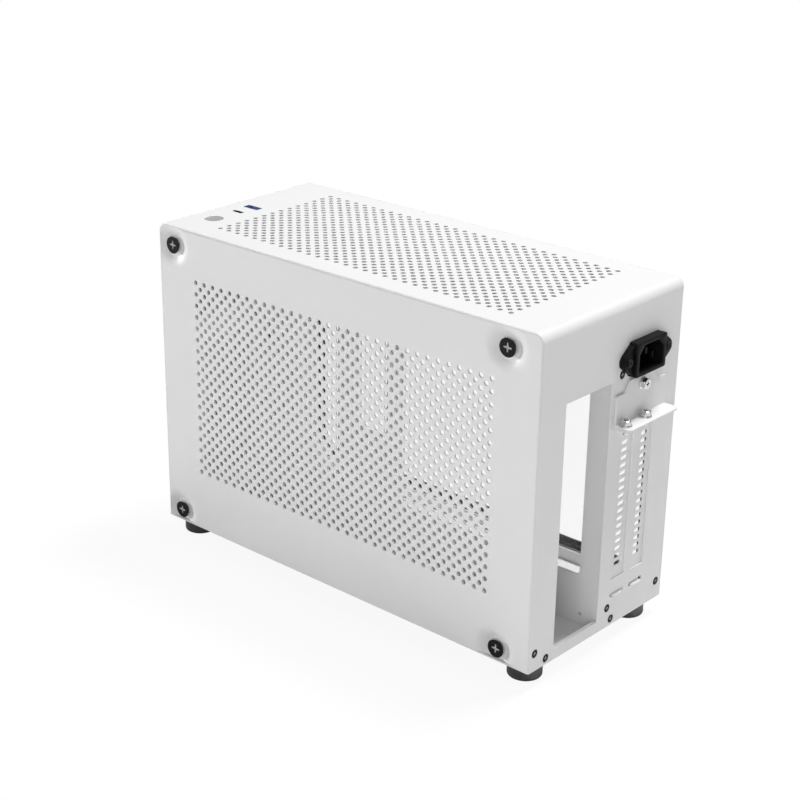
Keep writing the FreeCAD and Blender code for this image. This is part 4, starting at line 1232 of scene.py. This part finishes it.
def inlet_outlines():
    """Outlines of the body, the flange with its ears, the shroud and the cavity, seen from behind."""
    ear, ear_radius, straight = inlet_ears
    half_width, half_height = inlet_body[0] / 2, inlet_body[1] / 2
    shroud_x, shroud_z = inlet_shroud[0] / 2, inlet_shroud[1] / 2
    cavity_x, cavity_z = inlet_cavity[0] / 2, inlet_cavity[1] / 2
    chamfer_x, chamfer_z = cavity_x - inlet_cavity_chamfer, cavity_z - inlet_cavity_chamfer
    body = rounded(rectangle((-half_width, half_width), (-half_height, half_height), 1.0), 4)
    ears = rounded([
        (ear, 0, ear_radius), (straight, shroud_z, 0), (-straight, shroud_z, 0),
        (-ear, 0, ear_radius), (-straight, -shroud_z, 0), (straight, -shroud_z, 0),
    ], 8)
    shroud = rounded(rectangle((-shroud_x, shroud_x), (-shroud_z, shroud_z), 1.5), 8)
    cavity = rounded([
        (-cavity_x, -cavity_z, 1.5), (cavity_x, -cavity_z, 1.5), (cavity_x, chamfer_z, 1.0),
        (chamfer_x, cavity_z, 1.0), (-chamfer_x, cavity_z, 1.0), (-cavity_x, chamfer_z, 1.0),
    ], 5)
    return body, ears, shroud, cavity


def make_inlet():
    """Housing lofted from its back over the flange and the shroud into the cavity, ring by ring.

    Below its face the flange takes the larger of its own radius and the shroud's at each angle.
    """
    count = 360
    body, ears, shroud, cavity = inlet_outlines()
    seat, face, edge = inlet_flange_thickness, inlet_standout, inlet_edge
    bevel = 0.3 * edge
    stages = [
        (body, 0.0, -inlet_body[2]),
        (body, 0.0, 0.0),
        (ears, 0.0, 0.0),
        (ears, 0.0, seat - edge),
        (ears, bevel, seat - bevel),
        (ears, edge, seat),
        (shroud, 0.0, seat),
        (shroud, 0.0, face - edge),
        (shroud, bevel, face - bevel),
        (shroud, edge, face),
        (cavity, -1.5 * edge, face),
        (cavity, -0.375 * edge, face - 0.5 * edge),
        (cavity, 0.0, face - 1.5 * edge),
        (cavity, 0.0, -inlet_cavity[2]),
    ]
    wider = by_angle(shroud, count)
    rings = []
    for loop, inset, y in stages:
        spots = by_angle(shift_left(loop, inset), count)
        if loop is ears:
            inner = np.linalg.norm(spots, axis=1) < np.linalg.norm(wider, axis=1)
            spots = np.where(inner[:, None], wider, spots)
        x = inlet_middle + spots[:, 0]
        rings.append(np.column_stack([x, np.full(count, rear + y), up(inlet_lift) + spots[:, 1]]))
    points, faces = lofted(rings)
    piece("inlet_moulding", points, faces, FINISHES["black_plastic"], ["inlet_housing"])


# Button and feet

def make_button():
    """Cap with a softened edge and a shallow dish, its flange and its stem."""
    dish = [(0.01, -0.12), (3.0, -0.1), (5.2, -0.02), (5.6, 0.0), (5.85, -0.08)]
    wall = [(button_radius, -0.3), (button_radius, -0.9)]
    flange = [(7.2, -0.9), (7.2, -1.9)]
    stem = [(2.2, -1.9), (2.2, -4.2)]
    points, faces = turned(dish + wall + flange + stem)
    points += (across(button_inset), back(controls_setback), top - button_sink)
    finish = FINISHES["button_metal"]
    piece("button_cap", points, faces, finish, ["power_button"], body="button")


def make_feet():
    """Four turned feet with a rounded rim, a fine groove under the plate and a recess for the pad."""
    radius, pad_seat = 10.9, 2.0
    wall = [(2.0, base), (radius - 0.4, base), (radius, base - 0.4), (radius, 2.1)]
    rounded_rim = [(10.79, 1.53), (10.46, 1.04), (9.97, 0.71), (9.4, 0.6)]
    recess = [(8.0, 0.6), (8.0, pad_seat), (1.2, pad_seat)]
    form, faces = turned(wall + rounded_rim + recess, 72)
    for node in [name for name in frame["nodes"] if name.startswith(("foot_front", "foot_rear"))]:
        low, high = (np.array(corner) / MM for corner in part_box(node))
        middle = (low + high) / 2
        points = form + (middle[0], middle[1], 0)
        piece("turned_" + node, points, faces, FINISHES["foot_black"], [node], crease=40)


# Studio

def make_stage():
    """Pale floor: plain white for the camera from a metre off, nearer also with the shadow of the case."""
    corners = [(-floor_reach, -floor_reach, 0), (floor_reach, -floor_reach, 0),
               (floor_reach, floor_reach, 0), (-floor_reach, floor_reach, 0)]
    mesh = bpy.data.meshes.new("studio_floor")
    mesh.from_pydata(corners, [], [(0, 1, 2, 3)])
    floor = bpy.data.objects.new("studio_floor", mesh)
    bpy.context.scene.collection.objects.link(floor)
    paint = Finish("studio_white", grey(0.9), 0.9, specular_ior_level=0.0)
    seen = paint.seen_directly()
    paint.tint(grey(0.8), grey(1.0), seen)
    glow = paint.node("ShaderNodeEmission", None, {"Color": (1, 1, 1, 1), "Strength": 1.0})
    reach = paint.node("ShaderNodeVectorMath", {"operation": "LENGTH"}, {0: paint.place})
    far = paint.maths("MINIMUM", reach.outputs["Value"], 1.0)
    near_share, far_share = floor_white
    sockets = {0: seen * (near_share + far_share * far), 1: paint.shader.outputs[0], 2: glow.outputs[0]}
    mix = paint.node("ShaderNodeMixShader", None, sockets)
    paint.feed(paint.tree.nodes["Material Output"].inputs["Surface"], mix.outputs[0])
    mesh.materials.append(paint.material)
    floor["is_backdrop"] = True


def make_world():
    """White all round for the camera, a calmer level as light."""
    world = bpy.data.worlds.new("studio")
    bpy.context.scene.world = world
    world.use_nodes = True
    sky = Nodes(world.node_tree)
    background = sky.tree.nodes["Background"]
    background.inputs["Color"].default_value = (1, 1, 1, 1)
    seen = sky.seen_directly()
    sky.feed(background.inputs["Strength"], surroundings + (1 - surroundings) * seen)


def make_lamp(name, place, size, power):
    """Soft rectangular lamp that points at the case."""
    data = bpy.data.lights.new(name, "AREA")
    data.shape = "RECTANGLE"
    data.size, data.size_y = size
    data.energy = power
    lamp = bpy.data.objects.new(name, data)
    lamp.location = place
    lamp.rotation_euler = (Vector(lamp_target) - Vector(place)).to_track_quat("-Z", "Y").to_euler()
    bpy.context.scene.collection.objects.link(lamp)


def make_camera():
    """Camera from behind and above on the board side, as the photograph was framed."""
    data = bpy.data.cameras.new("camera")
    data.sensor_width = 36.0
    data.lens = camera_lens
    data.shift_x, data.shift_y = camera_shift
    data.clip_end = 50
    camera = bpy.data.objects.new("camera", data)
    azimuth, elevation = math.radians(camera_azimuth), math.radians(camera_elevation)
    level_reach = math.cos(elevation)
    heading = (-math.sin(azimuth) * level_reach, -math.cos(azimuth) * level_reach, -math.sin(elevation))
    camera.location = camera_place
    camera.rotation_euler = Vector(heading).to_track_quat("-Z", "Y").to_euler()
    bpy.context.scene.collection.objects.link(camera)
    bpy.context.scene.camera = camera


finish_cad_nodes()
make_shell()
make_side_panels()
make_slot_covers()
make_slot_clamp()
make_panel_screws()
make_frame_screws()
make_inlet_screws()
make_slot_screws()
make_inlet()
make_button()
make_feet()
make_stage()
make_world()
for lamp in lamps:
    make_lamp(*lamp)
make_camera()
bpy.context.scene.view_settings.view_transform = "Standard"

[[list(corner) for corner in box] for box in (cad_bounds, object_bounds())]
